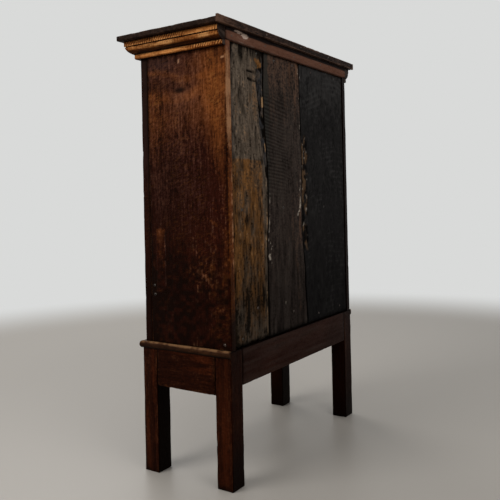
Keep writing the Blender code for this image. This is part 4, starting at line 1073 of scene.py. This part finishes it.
# Each rail shows between two legs: its grain, those legs and its marks.
standRails = dict(
    stand_rail_front=(0, "leg_front_left", "leg_front_right", touchFrontRail),
    stand_rail_back=(0, "leg_back_left", "leg_back_right", touchBackRail),
    stand_rail_left=(1, "leg_front_left", "leg_back_left", touchRail),
    stand_rail_right=(1, "leg_front_right", "leg_back_right", touchRail),
)
for seed, (node, (grain, first, last, touch)) in enumerate(standRails.items(), 86):
    low, high = (list(corner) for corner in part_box(node))
    low[grain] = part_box(first)[1][grain] + seatGap
    high[grain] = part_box(last)[0][grain] - seatGap
    boardFor(node, carcase, "standOak", grain, seed, low=low, high=high, touch=touch, ease=0.0015,
             along=0.004, endSoil=0.7)
print("stand made")


# Mouldings: a closed outline carried along a straight run, its ends cut square or to a mitre.

def walkedOutline(corners, step, passes):
    # The outline walked in even steps and softened: each pass moves a point half way to the mean of
    # its neighbours.
    corners = np.array(corners, float) / 1000
    closed = np.vstack([corners, corners[:1]])
    walked = np.concatenate([[0], np.cumsum(np.linalg.norm(np.diff(closed, axis=0), axis=1))])
    stops = np.linspace(0, walked[-1], round(walked[-1] / step), endpoint=False)
    outline = np.stack([np.interp(stops, walked, closed[:, n]) for n in (0, 1)], 1)
    for _ in range(passes):
        outline = (outline + (np.roll(outline, 1, 0) + np.roll(outline, -1, 0)) / 2) / 2
    return outline


def arcPoints(middle, radii, start, end, count):
    # Middle plus radii times cosine and sine of even angles, given in degrees.
    angle = np.radians(np.linspace(start, end, count))
    return np.stack([middle[0] + radii[0] * np.cos(angle), middle[1] + radii[1] * np.sin(angle)], 1)


def carryOutline(name, outline, count, place, finish, seed, touch, relief):
    # Points at every station: place gives x, y, z from the share of the run, outstand and height. The
    # surface moves along the outline's own normal by noise and slanting tool marks.
    stations = np.linspace(0, 1, count)
    ahead = np.roll(outline, -1, 0) - np.roll(outline, 1, 0)
    normal = np.stack([ahead[:, 1], -ahead[:, 0]], 1) / np.linalg.norm(ahead, axis=1, keepdims=True)
    share, out = np.meshgrid(stations, outline[:, 0], indexing="ij")
    up = np.broadcast_to(outline[:, 1], out.shape)
    flat = np.stack([share, out, up], -1).reshape(-1, 3)
    spots = place(*flat.T)
    marks = touch(flat, spots)
    lift = 0.0003 * softNoise(spots, 0.03, seed) + relief * softNoise(spots, 0.006, seed + 1)
    lift = lift - 0.0012 * patchy(spots, 0.016, seed + 2, 0.62, 0.95) + marks.pop("lift", 0.0)
    lift = lift * (flat[:, 1] > 0.001)  # not where it lies against the carcase
    moved = flat[:, 1:] + np.tile(normal, (count, 1)) * lift[:, None]
    points = place(flat[:, 0], *moved.T)
    numbers = np.arange(len(points)).reshape(count, -1)
    first, last = place(np.arange(2), np.zeros(2), np.zeros(2))
    grain = int(np.argmax(np.abs(last - first)))
    marks["grain"] = points[:, [(grain + 1) % 3, (grain + 2) % 3, grain]] + seed * 0.37
    return addMesh(name, points, [tubeQuads(numbers), numbers[:1, ::-1], numbers[-1:]], oak[finish], marks)


faceY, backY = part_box("front_stile_right")[0][1], sideHigh[1]
depth, width = backY - faceY, 2 * sideHigh[0]


def sideRun(hand, foot, front):
    # From the square back end to the mitre, as far forward of the face as the outline stands out.
    def place(share, out, up):
        end = front - out + seatGap / 2
        return np.stack([hand * (sideHigh[0] + out), backY + (end - backY) * share, foot + up], -1)
    return place


def frontRun(foot, front):
    # From the right mitre to the left one, across the face.
    def place(share, out, up):
        reach = sideHigh[0] + out - seatGap / 2
        return np.stack([reach * (1 - 2 * share), front - out, foot + up], -1)
    return place


cornice = dict(foot=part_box("cornice_right")[0][2], step=0.0007, softening=2, station=0.0013, relief=0.00012,
               toolStep=0.0068, toolLean=0.45)
# Outstand and height in mm: a quarter round, a fillet, the swelling ogee, a quirk and the square crown.
corniceCorners = np.vstack([
    [(0.3, 0.0)], arcPoints((5.6, 4.0), (4.0, 4.0), -90, 0, 7), [(9.6, 11.0)],
    [(9.9 + 15.2 * s + 7.2 * s * (1 - s), 11.3 + 15.5 * s - 7.0 * s * (1 - s))
     for s in np.linspace(0, 1, 10)],
    [(23.4, 27.6), (23.4, 29.3), (26.5, 29.3), (26.5, 41.2), (0.3, 41.2)],
])


def touchCornice(flat, spots):
    # Bands by height: a scored crown and fillet, a swelling painted bright, painted shade in the quirk and
    # hollow and under the top board.
    share, out, up = (flat * (1, 1000, 1000)).T  # outstand and height in mm, as in the outline
    # painted shade: in the quirk, on the seat below the swelling and under the foot
    quirk = bell(up, 28.6, 1.1)
    seat = bell(up, 12.2, 2.0) * fade(out, 15, 12)
    under = fade(up, 1.4, 0.4)
    crown = fade(up, 29.3, 30.2)
    fillet = fade(up, 2.0, 4.5) * fade(up, 11.0, 10.2)
    # the swelling takes glow and wear: a painted highlight
    swell = fade(up, 18, 22) * fade(up, 28, 26)
    onSide = np.ptp(spots[:, 1]) > np.ptp(spots[:, 0])
    length = spots[:, 1] if onSide else spots[:, 0]
    # painted light: the side runs are brighter towards their back ends
    lit = 1 - 0.55 * fade(share, 0.50, 0.80) if onSide else 0.75 + 0.3 * softNoise(spots, (0.08, 0.08, 1), 95)
    hatched = fade(share, 0.42, 0.27) if onSide else 0.4  # the low fillet is scored towards the back
    wobble = 0.40 * softNoise(spots, (0.02, 0.02, 0.006), 93)
    phase = (length - cornice["toolLean"] * flat[:, 2]) / cornice["toolStep"] + wobble
    tool = np.sin(2 * math.pi * phase) * patchy(spots, (0.045, 0.045, 0.010), 91, -0.55, 0.2)
    tool = tool * (crown + hatched * fillet + 0.4 * swell)
    cloud = softNoise(spots, (0.050, 0.050, 0.012), 92)
    streak = softNoise(spots, (0.030, 0.030, 0.0025), 94)
    end = onSide * closeTo(share * depth, 0.0007)  # the sawn back end
    # painted shade in the hollow below the swelling
    hollow = (0.80 + 0.4 * streak) * fade(up, 21, 16) * fade(up, 11.3, 11.8)
    arrises = 0.25 * bell(up, 30.2, 0.8) * fade(out, 25, 26.3) + 0.35 * bell(up, 10.4, 0.8)
    return dict(
        lift=-0.00028 * tool,
        glow=lit * (0.75 * crown + 0.45 * swell + 0.70 * tool) + 0.50 * fillet + 0.35 * cloud + 0.30 * streak
        - 1.5 * end,
        dust=1.3 * end,
        wear=arrises + lit * (0.55 * fade(tool, 0.3, 0.9) + 0.55 * swell * fade(cloud, 0.1, 0.5)) - 1.5 * end,
        # painted shade, and the top board's painted shadow on the crown's head
        soil=quirk + 0.95 * seat + under + hollow + 0.85 * fade(up, 36.5, 40.5)
        + 0.50 * fade(-tool, 0.3, 1.0),
    )


bead = dict(foot=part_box("leg_front_right")[1][2], step=0.0007, softening=1, station=0.0025, relief=0.00015,
            rise=2.5, height=16.0, out=5.2,  # in mm
            sideLedge=4.5, frontLedge=6.0)  # how far the stand reaches beyond the carcase, in mm


def beadCorners(ledge):
    # A half round nose that laps the stand's ledge, in mm out from the carcase and up from the stand's head.
    middle = (ledge + 0.3, bead["rise"] - bead["height"] / 2)
    nose = arcPoints(middle, (bead["out"], bead["height"] / 2), -90, 90, 15)
    return np.vstack([nose, [(0.3, bead["rise"]), (0.3, 0.3), (ledge + 0.3, 0.3)]])


def touchBead(flat, spots):
    # Lighter on top, darker below and against the carcase.
    up = flat[:, 2] * 1000
    top = fade(up, -4.0, 1.5)
    cloud = softNoise(spots, (0.04, 0.04, 0.02), 111)
    return dict(
        glow=0.05 + 0.45 * top + 0.35 * cloud,
        wear=top * fade(cloud + 0.6 * softNoise(spots, (0.008, 0.008, 0.02), 110), -0.4, 0.5),
        soil=0.75 * fade(up, -7.0, -12.5) + 0.7 * fade(flat[:, 1], 0.0055, 0.0025) + 0.25,
    )


beadFront = faceY - (bead["frontLedge"] - bead["sideLedge"]) / 1000  # so that the mitres meet
# Each run: its settings, corners, place, length, finish and seed.
runs = dict(
    cornice_right=(cornice, corniceCorners, sideRun(1, cornice["foot"], faceY), depth, "goldenOak", 101),
    cornice_left=(cornice, corniceCorners, sideRun(-1, cornice["foot"], faceY), depth, "goldenOak", 104),
    cornice_front=(cornice, corniceCorners, frontRun(cornice["foot"], faceY), width, "goldenOak", 107),
    stand_bead_right=(bead, beadCorners(bead["sideLedge"]), sideRun(1, bead["foot"], beadFront), depth,
                      "beadOak", 112),
    stand_bead_left=(bead, beadCorners(bead["sideLedge"]), sideRun(-1, bead["foot"], beadFront), depth,
                     "beadOak", 115),
    stand_bead_front=(bead, beadCorners(bead["frontLedge"]), frontRun(bead["foot"], faceY), width,
                      "beadOak", 118),
)
for node, (look, corners, place, length, finish, seed) in runs.items():
    outline = walkedOutline(corners, look["step"], look["softening"])
    touch = touchCornice if look is cornice else touchBead
    piece = carryOutline(f"worn_{node}", outline, round(length / look["station"]), place, finish, seed, touch,
                         look["relief"])
    settle(piece, carcase, oakLooks[finish]["slot"], node)
print("mouldings made")


# Turned and forged small things: a profile of radius and height, from pole to pole, swept round an axis.

def sweepProfile(name, profile, places, out, segments, material, grow=None, smooth=35, grain=False):
    # Every place gets the profile: place + out times height + radius times (cosine, sine) across the axis.
    profile, places, out = np.array(profile, float), np.array(places, float), np.array(out, float)
    side = np.cross(out, (0, 0, 1) if abs(out[2]) < 0.5 else (1, 0, 0))
    angle = np.arange(segments) * 2 * math.pi / segments
    ring = np.cos(angle)[:, None] * side + np.sin(angle)[:, None] * np.cross(out, side)
    rings = profile[1:-1, 1, None, None] * out + profile[1:-1, 0, None, None] * ring
    local = np.vstack([rings.reshape(-1, 3), profile[0, 1] * out, profile[-1, 1] * out])
    grow = np.ones(len(places)) if grow is None else grow
    points = (places[:, None] + grow[:, None, None] * local).reshape(-1, 3)
    numbers = np.arange(len(local) - 2).reshape(-1, segments)
    after = np.roll(numbers, -1, 1)
    poles = np.full(segments, len(local) - 2), np.full(segments, len(local) - 1)
    fans = np.vstack([np.stack([poles[0], after[0], numbers[0]], 1),
                      np.stack([poles[1], numbers[-1], after[-1]], 1)])
    hops = (np.arange(len(places)) * len(local))[:, None, None]
    faces = [(tubeQuads(numbers) + hops).reshape(-1, 4), (fans + hops).reshape(-1, 3)]
    masks = None
    if grain:
        nose = np.tile(fade(local @ out, 0.008, 0.02), len(places))
        neck = np.tile(fade(local @ out, 0.004, 0.0), len(places))
        masks = dict(grain=points[:, [2, 0, 1]] + 0.7, glow=0.30 + 0.3 * nose, wear=0.40 * nose,
                     soil=0.7 * neck)
    return addMesh(name, points, faces, material, masks, smooth)


rightward, leftward, forward, backward = (1, 0, 0), (-1, 0, 0), (0, -1, 0), (0, 1, 0)
# Sizes in mm.
knobLook = dict(radius=11.0, length=22.0, ball=14.0, seat=8.0, pinch=4.4, spigot=4.0, depth=11.0, lap=0.3)


def knobProfile(look):
    # A flattened ball on a neck that flares to its seat; the spigot goes on into the wood.
    middle = look["length"] - look["ball"] / 2
    ball = arcPoints((0, middle), (look["radius"], look["ball"] / 2), 90, -48, 22)
    ball[0, 0] = 0.0
    share = np.linspace(0, 1, 8)[1:]
    start = ball[-1]
    flare = np.stack([start[0] + (look["seat"] - start[0]) * share ** 2 - look["pinch"] * share * (1 - share),
                      start[1] * (1 - share) + look["lap"]], 1)
    spigot = [(look["spigot"], look["lap"]), (look["spigot"], -look["depth"]), (0, -look["depth"])]
    return np.vstack([ball, flare, spigot]) / 1000


for body, (x, z) in zip(("door", "drawer_left", "drawer_right"), knobSpots):
    node = f"{body}_knob"
    piece = sweepProfile(f"turned_{node}", knobProfile(knobLook), [(x, faceY, z)], forward, 36,
                         oak["darkOak"], grain=True)
    settle(piece, body, "dark_oak", node)

# Rose heads: a low pyramid of hammered facets. Brads are small and nearly flat.
roseHead = np.array([(0, 1.0), (1.5, 0.72), (2.9, 0.1), (2.6, -0.6), (0, -1.6)]) / 1000
bradHead = np.array([(0, 0.35), (1.2, 0.3), (1.9, 0.05), (1.7, -0.5), (0, -1.2)]) / 1000
pegHead = np.array([(0, 0.7), (2.0, 0.6), (3.0, 0.2), (3.1, -0.6), (0, -1.5)]) / 1000
nailLook = dict(facets=7, sizes=(0.85, 1.15), pegSides=10)
# Places across and up. The first three on the back and those on the right side are where the photo has them.
backNails = [(0.181, 0.374), (0.0204, 0.3417), (-0.1097, 0.3165), (0.246, 0.945), (0.166, 0.952),
             (0.090, 0.948), (0.004, 0.951), (-0.090, 0.947), (-0.225, 0.950), (-0.232, 0.318),
             (0.243, 0.315), (0.236, 0.597), (0.060, 0.598), (-0.150, 0.596)]
friezeNails = [(-0.272, 0.972), (-0.14, 0.975), (0.0, 0.972), (0.135, 0.975), (0.268, 0.972)]
lathNails = [(x, 0.9985) for x in (-0.30, -0.17, -0.02, 0.14, 0.295)]
rightNails = [(-0.0763, 0.4072), (-0.0775, 0.4276), (0.118, 0.3095)]
leftNails = [(-0.072, 0.4155), (0.030, 0.4155), (0.112, 0.4150), (-0.070, 0.3095), (0.040, 0.3095),
             (0.118, 0.3095)]
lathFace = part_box("top_back_lath")[1][1]
# Each row: its head, the way it points, its body and its places.
nailRows = dict(
    back_nails=(roseHead, backward, carcase, [(x, boardHigh[1], z) for x, z in backNails]),
    frieze_nails=(bradHead, backward, carcase, [(x, friezeHigh[1], z) for x, z in friezeNails]),
    lath_nails=(bradHead, backward, carcase, [(x, lathFace, z) for x, z in lathNails]),
    side_right_nails=(roseHead, rightward, carcase, [(sideHigh[0], y, z) for y, z in rightNails]),
    side_left_nails=(bradHead, leftward, carcase, [(-sideHigh[0], y, z) for y, z in leftNails]),
)
hingeLook = dict(leaf=0.002, top=0.010, outer=0.007, inner=0.012, frame=0.0065)  # leaf thickness, nail insets
leafFace = faceY - seatGap - hingeLook["leaf"]
for hinge in ("hinge_upper", "hinge_lower"):
    for leaf, body in (("door_leaf", "door"), ("frame_leaf", carcase)):
        low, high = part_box(f"{hinge}_{leaf}")
        onDoor = [low[0] + hingeLook["inner"], high[0] - hingeLook["outer"]]
        columns = onDoor if body == "door" else [low[0] + hingeLook["frame"]]
        levels = (low[2] + hingeLook["top"], (low[2] + high[2]) / 2, high[2] - hingeLook["top"])
        nailRows[f"{hinge}_{leaf}_nails"] = (roseHead, forward, body,
                                             [(x, leafFace, z) for x in columns for z in levels])
lockLow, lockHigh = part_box("door_lock")
lockInset, pinInset = 0.006, 0.004
nailRows["lock_nails"] = (bradHead, backward, "door",
                          [(x, lockHigh[1], z) for x in (lockLow[0] + lockInset, lockHigh[0] - lockInset)
                           for z in (lockLow[2] + lockInset, lockHigh[2] - lockInset)])
plateLow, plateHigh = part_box("door_escutcheon")
plateX = (plateLow[0] + plateHigh[0]) / 2
pinZ = plateLow[2] + pinInset, plateHigh[2] - pinInset
nailRows["escutcheon_pins"] = (bradHead * 0.7, forward, "door", [(plateX, plateLow[1], z) for z in pinZ])
for seed, (name, (head, out, body, places)) in enumerate(nailRows.items(), 131):
    grow = np.random.default_rng(seed).uniform(*nailLook["sizes"], len(places))
    piece = sweepProfile(name, head, places, out, nailLook["facets"], iron, grow, smooth=20)
    settle(piece, body, "iron")

# Pegs: two in each joint of the door, one above the other in the front legs.
doorPegs = ((0.012, 0.012), (0.014, -0.013))
stileX = [(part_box(node)[0][0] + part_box(node)[1][0]) / 2 for node in ("door_stile_hinge", "door_stile_lock")]
railZ = [(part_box(node)[0][2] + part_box(node)[1][2]) / 2 for node in ("door_rail_top", "door_rail_bottom")]
pegs = [(x + shift * sign, faceY, z + lean) for sign, x in zip((1, -1), stileX) for z in railZ
        for shift, lean in doorPegs]
piece = sweepProfile("door_pegs", pegHead, pegs, forward, nailLook["pegSides"], oak["darkOak"], grain=True)
settle(piece, "door", "dark_oak")
legLow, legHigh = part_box("leg_front_right")
legX = (legLow[0] + legHigh[0]) / 2
pegs = [(sign * legX, legLow[1], z) for sign in (-1, 1) for z in (0.222, 0.262)]
piece = sweepProfile("stand_pegs", pegHead, pegs, forward, nailLook["pegSides"], oak["standOak"], grain=True)
settle(piece, carcase, "dark_oak")

# Solids kept from the frame: shelves, uprights and the iron fittings take their finish in place.
for node in nodes.values():
    if node.hide_render:
        continue
    kept = shelfOak if "shelf" in node.name else uprightOak if "upright" in node.name else iron
    for slot in node.material_slots:
        slot.material = kept
print("small parts made")


# Floor, light and camera

stageLook = dict(floor="#a59f97", floorRough=0.42, floorShine=0.25, backdrop="#d9dad9", fadeFrom=1.75,
                 fadeTo=2.7, reach=9.0, sky=0.42)


def backgroundRays(tree):
    # 1 for rays that may show the backdrop: seen straight, in gloss or through glass.
    path = addNode(tree, "LightPath").node.outputs
    seen = addNode(tree, "Math", {0: path["Is Camera Ray"], 1: path["Is Glossy Ray"]}, operation="MAXIMUM")
    return addNode(tree, "Math", {0: seen, 1: path["Is Transmission Ray"]}, operation="MAXIMUM")


def makeFloor(look):
    # A pale floor that fades far out into the backdrop's grey.
    reach = look["reach"]
    corners = [(-reach, -reach, 0), (reach, -reach, 0), (reach, reach, 0), (-reach, reach, 0)]
    mesh = bpy.data.meshes.new("pale_floor")
    mesh.from_pydata(corners, [], [(0, 1, 2, 3)])
    material, tree, shader = newMaterial("pale_floor")
    shader.inputs["Base Color"].default_value = linear(look["floor"])
    shader.inputs["Roughness"].default_value = look["floorRough"]
    shader.inputs["Specular IOR Level"].default_value = look["floorShine"]
    place = addNode(tree, "TexCoord", output="Object")
    far = addNode(tree, "VectorMath", {0: place}, "Value", operation="LENGTH")
    inputs = {"Value": far, "From Min": look["fadeFrom"], "From Max": look["fadeTo"]}
    far = addNode(tree, "MapRange", inputs, interpolation_type="SMOOTHSTEP")
    far = addNode(tree, "Math", {0: far, 1: backgroundRays(tree)}, operation="MULTIPLY")
    backdrop = addNode(tree, "Emission", {"Color": linear(look["backdrop"]), "Strength": 1.0})
    mixed = addNode(tree, "MixShader", {0: far, 1: shader.outputs[0], 2: backdrop})
    tree.links.new(mixed, tree.nodes["Material Output"].inputs["Surface"])
    mesh.materials.append(material)
    floor = bpy.data.objects.new("pale_floor", mesh)
    bpy.context.scene.collection.objects.link(floor)


def makeWorld(look):
    # White light from all round, and the backdrop's grey where it is seen.
    world = bpy.data.worlds.new("studio")
    world.use_nodes = True
    tree = world.node_tree
    sky = tree.nodes["Background"]
    sky.inputs["Color"].default_value = (1.0, 1.0, 1.0, 1.0)
    sky.inputs["Strength"].default_value = look["sky"]
    backdrop = addNode(tree, "Background", {"Color": linear(look["backdrop"]), "Strength": 1.0})
    mixed = addNode(tree, "MixShader", {0: backgroundRays(tree), 1: sky.outputs[0], 2: backdrop})
    tree.links.new(mixed, tree.nodes["World Output"].inputs["Surface"])
    bpy.context.scene.world = world


# Soft boxes: place, the point they face, width and height in metres, power in watts.
lamps = dict(
    key=dict(place=(1.9, -0.8, 2.1), aim=(0.2, 0.0, 0.75), size=(1.3, 1.1), power=32.0),
    back=dict(place=(0.5, 1.5, 2.3), aim=(0.0, 0.1, 0.7), size=(1.1, 0.7), power=14.0),
    front=dict(place=(-1.2, -2.2, 2.1), aim=(0.0, 0.0, 0.6), size=(1.5, 1.5), power=22.0),
)


def makeLamps():
    for name, lamp in lamps.items():
        light = bpy.data.lights.new(f"{name}_softbox", "AREA")
        light.shape = "RECTANGLE"
        light.size, light.size_y = lamp["size"]
        light.energy = lamp["power"]
        box = bpy.data.objects.new(f"{name}_softbox", light)
        place, aim = Vector(lamp["place"]), Vector(lamp["aim"])
        box.location = place
        box.rotation_euler = (aim - place).to_track_quat("-Z", "Y").to_euler()
        bpy.context.scene.collection.objects.link(box)


# The camera stands behind the right corner at about the height of the door's middle; angles in degrees,
# focal length and middle in pixels of the image.
camera = dict(eye=(1.4133, 0.9469, 0.620), heading=32.674, pitch=0.329, roll=1.239, focal=652.57,
              middle=(264.48, 195.11), image=500, sensor=36.0)


def makeCamera(look):
    # Looks along the heading and pitch, then rolls about that line.
    heading, pitch, roll = (math.radians(look[key]) for key in ("heading", "pitch", "roll"))
    level = Vector((-math.cos(heading), -math.sin(heading), 0.0))
    ahead = level * math.cos(pitch) + Vector((0.0, 0.0, math.sin(pitch)))
    right = Vector((-math.sin(heading), math.cos(heading), 0.0))
    turned = right * math.cos(roll) - right.cross(ahead) * math.sin(roll)
    upward = turned.cross(ahead)
    data = bpy.data.cameras.new("photo_camera")
    data.sensor_width = look["sensor"]
    data.lens = data.sensor_width * look["focal"] / look["image"]
    data.shift_x = 0.5 - look["middle"][0] / look["image"]
    data.shift_y = look["middle"][1] / look["image"] - 0.5
    eye = bpy.data.objects.new("photo_camera", data)
    turn = Matrix((turned, upward, -ahead)).transposed()
    eye.matrix_world = Matrix.Translation(look["eye"]) @ turn.to_4x4()
    bpy.context.scene.collection.objects.link(eye)
    bpy.context.scene.camera = eye


makeFloor(stageLook)
makeWorld(stageLook)
makeLamps()
makeCamera(camera)
bpy.context.scene.view_settings.view_transform = "Standard"
print("stage, light and camera set")
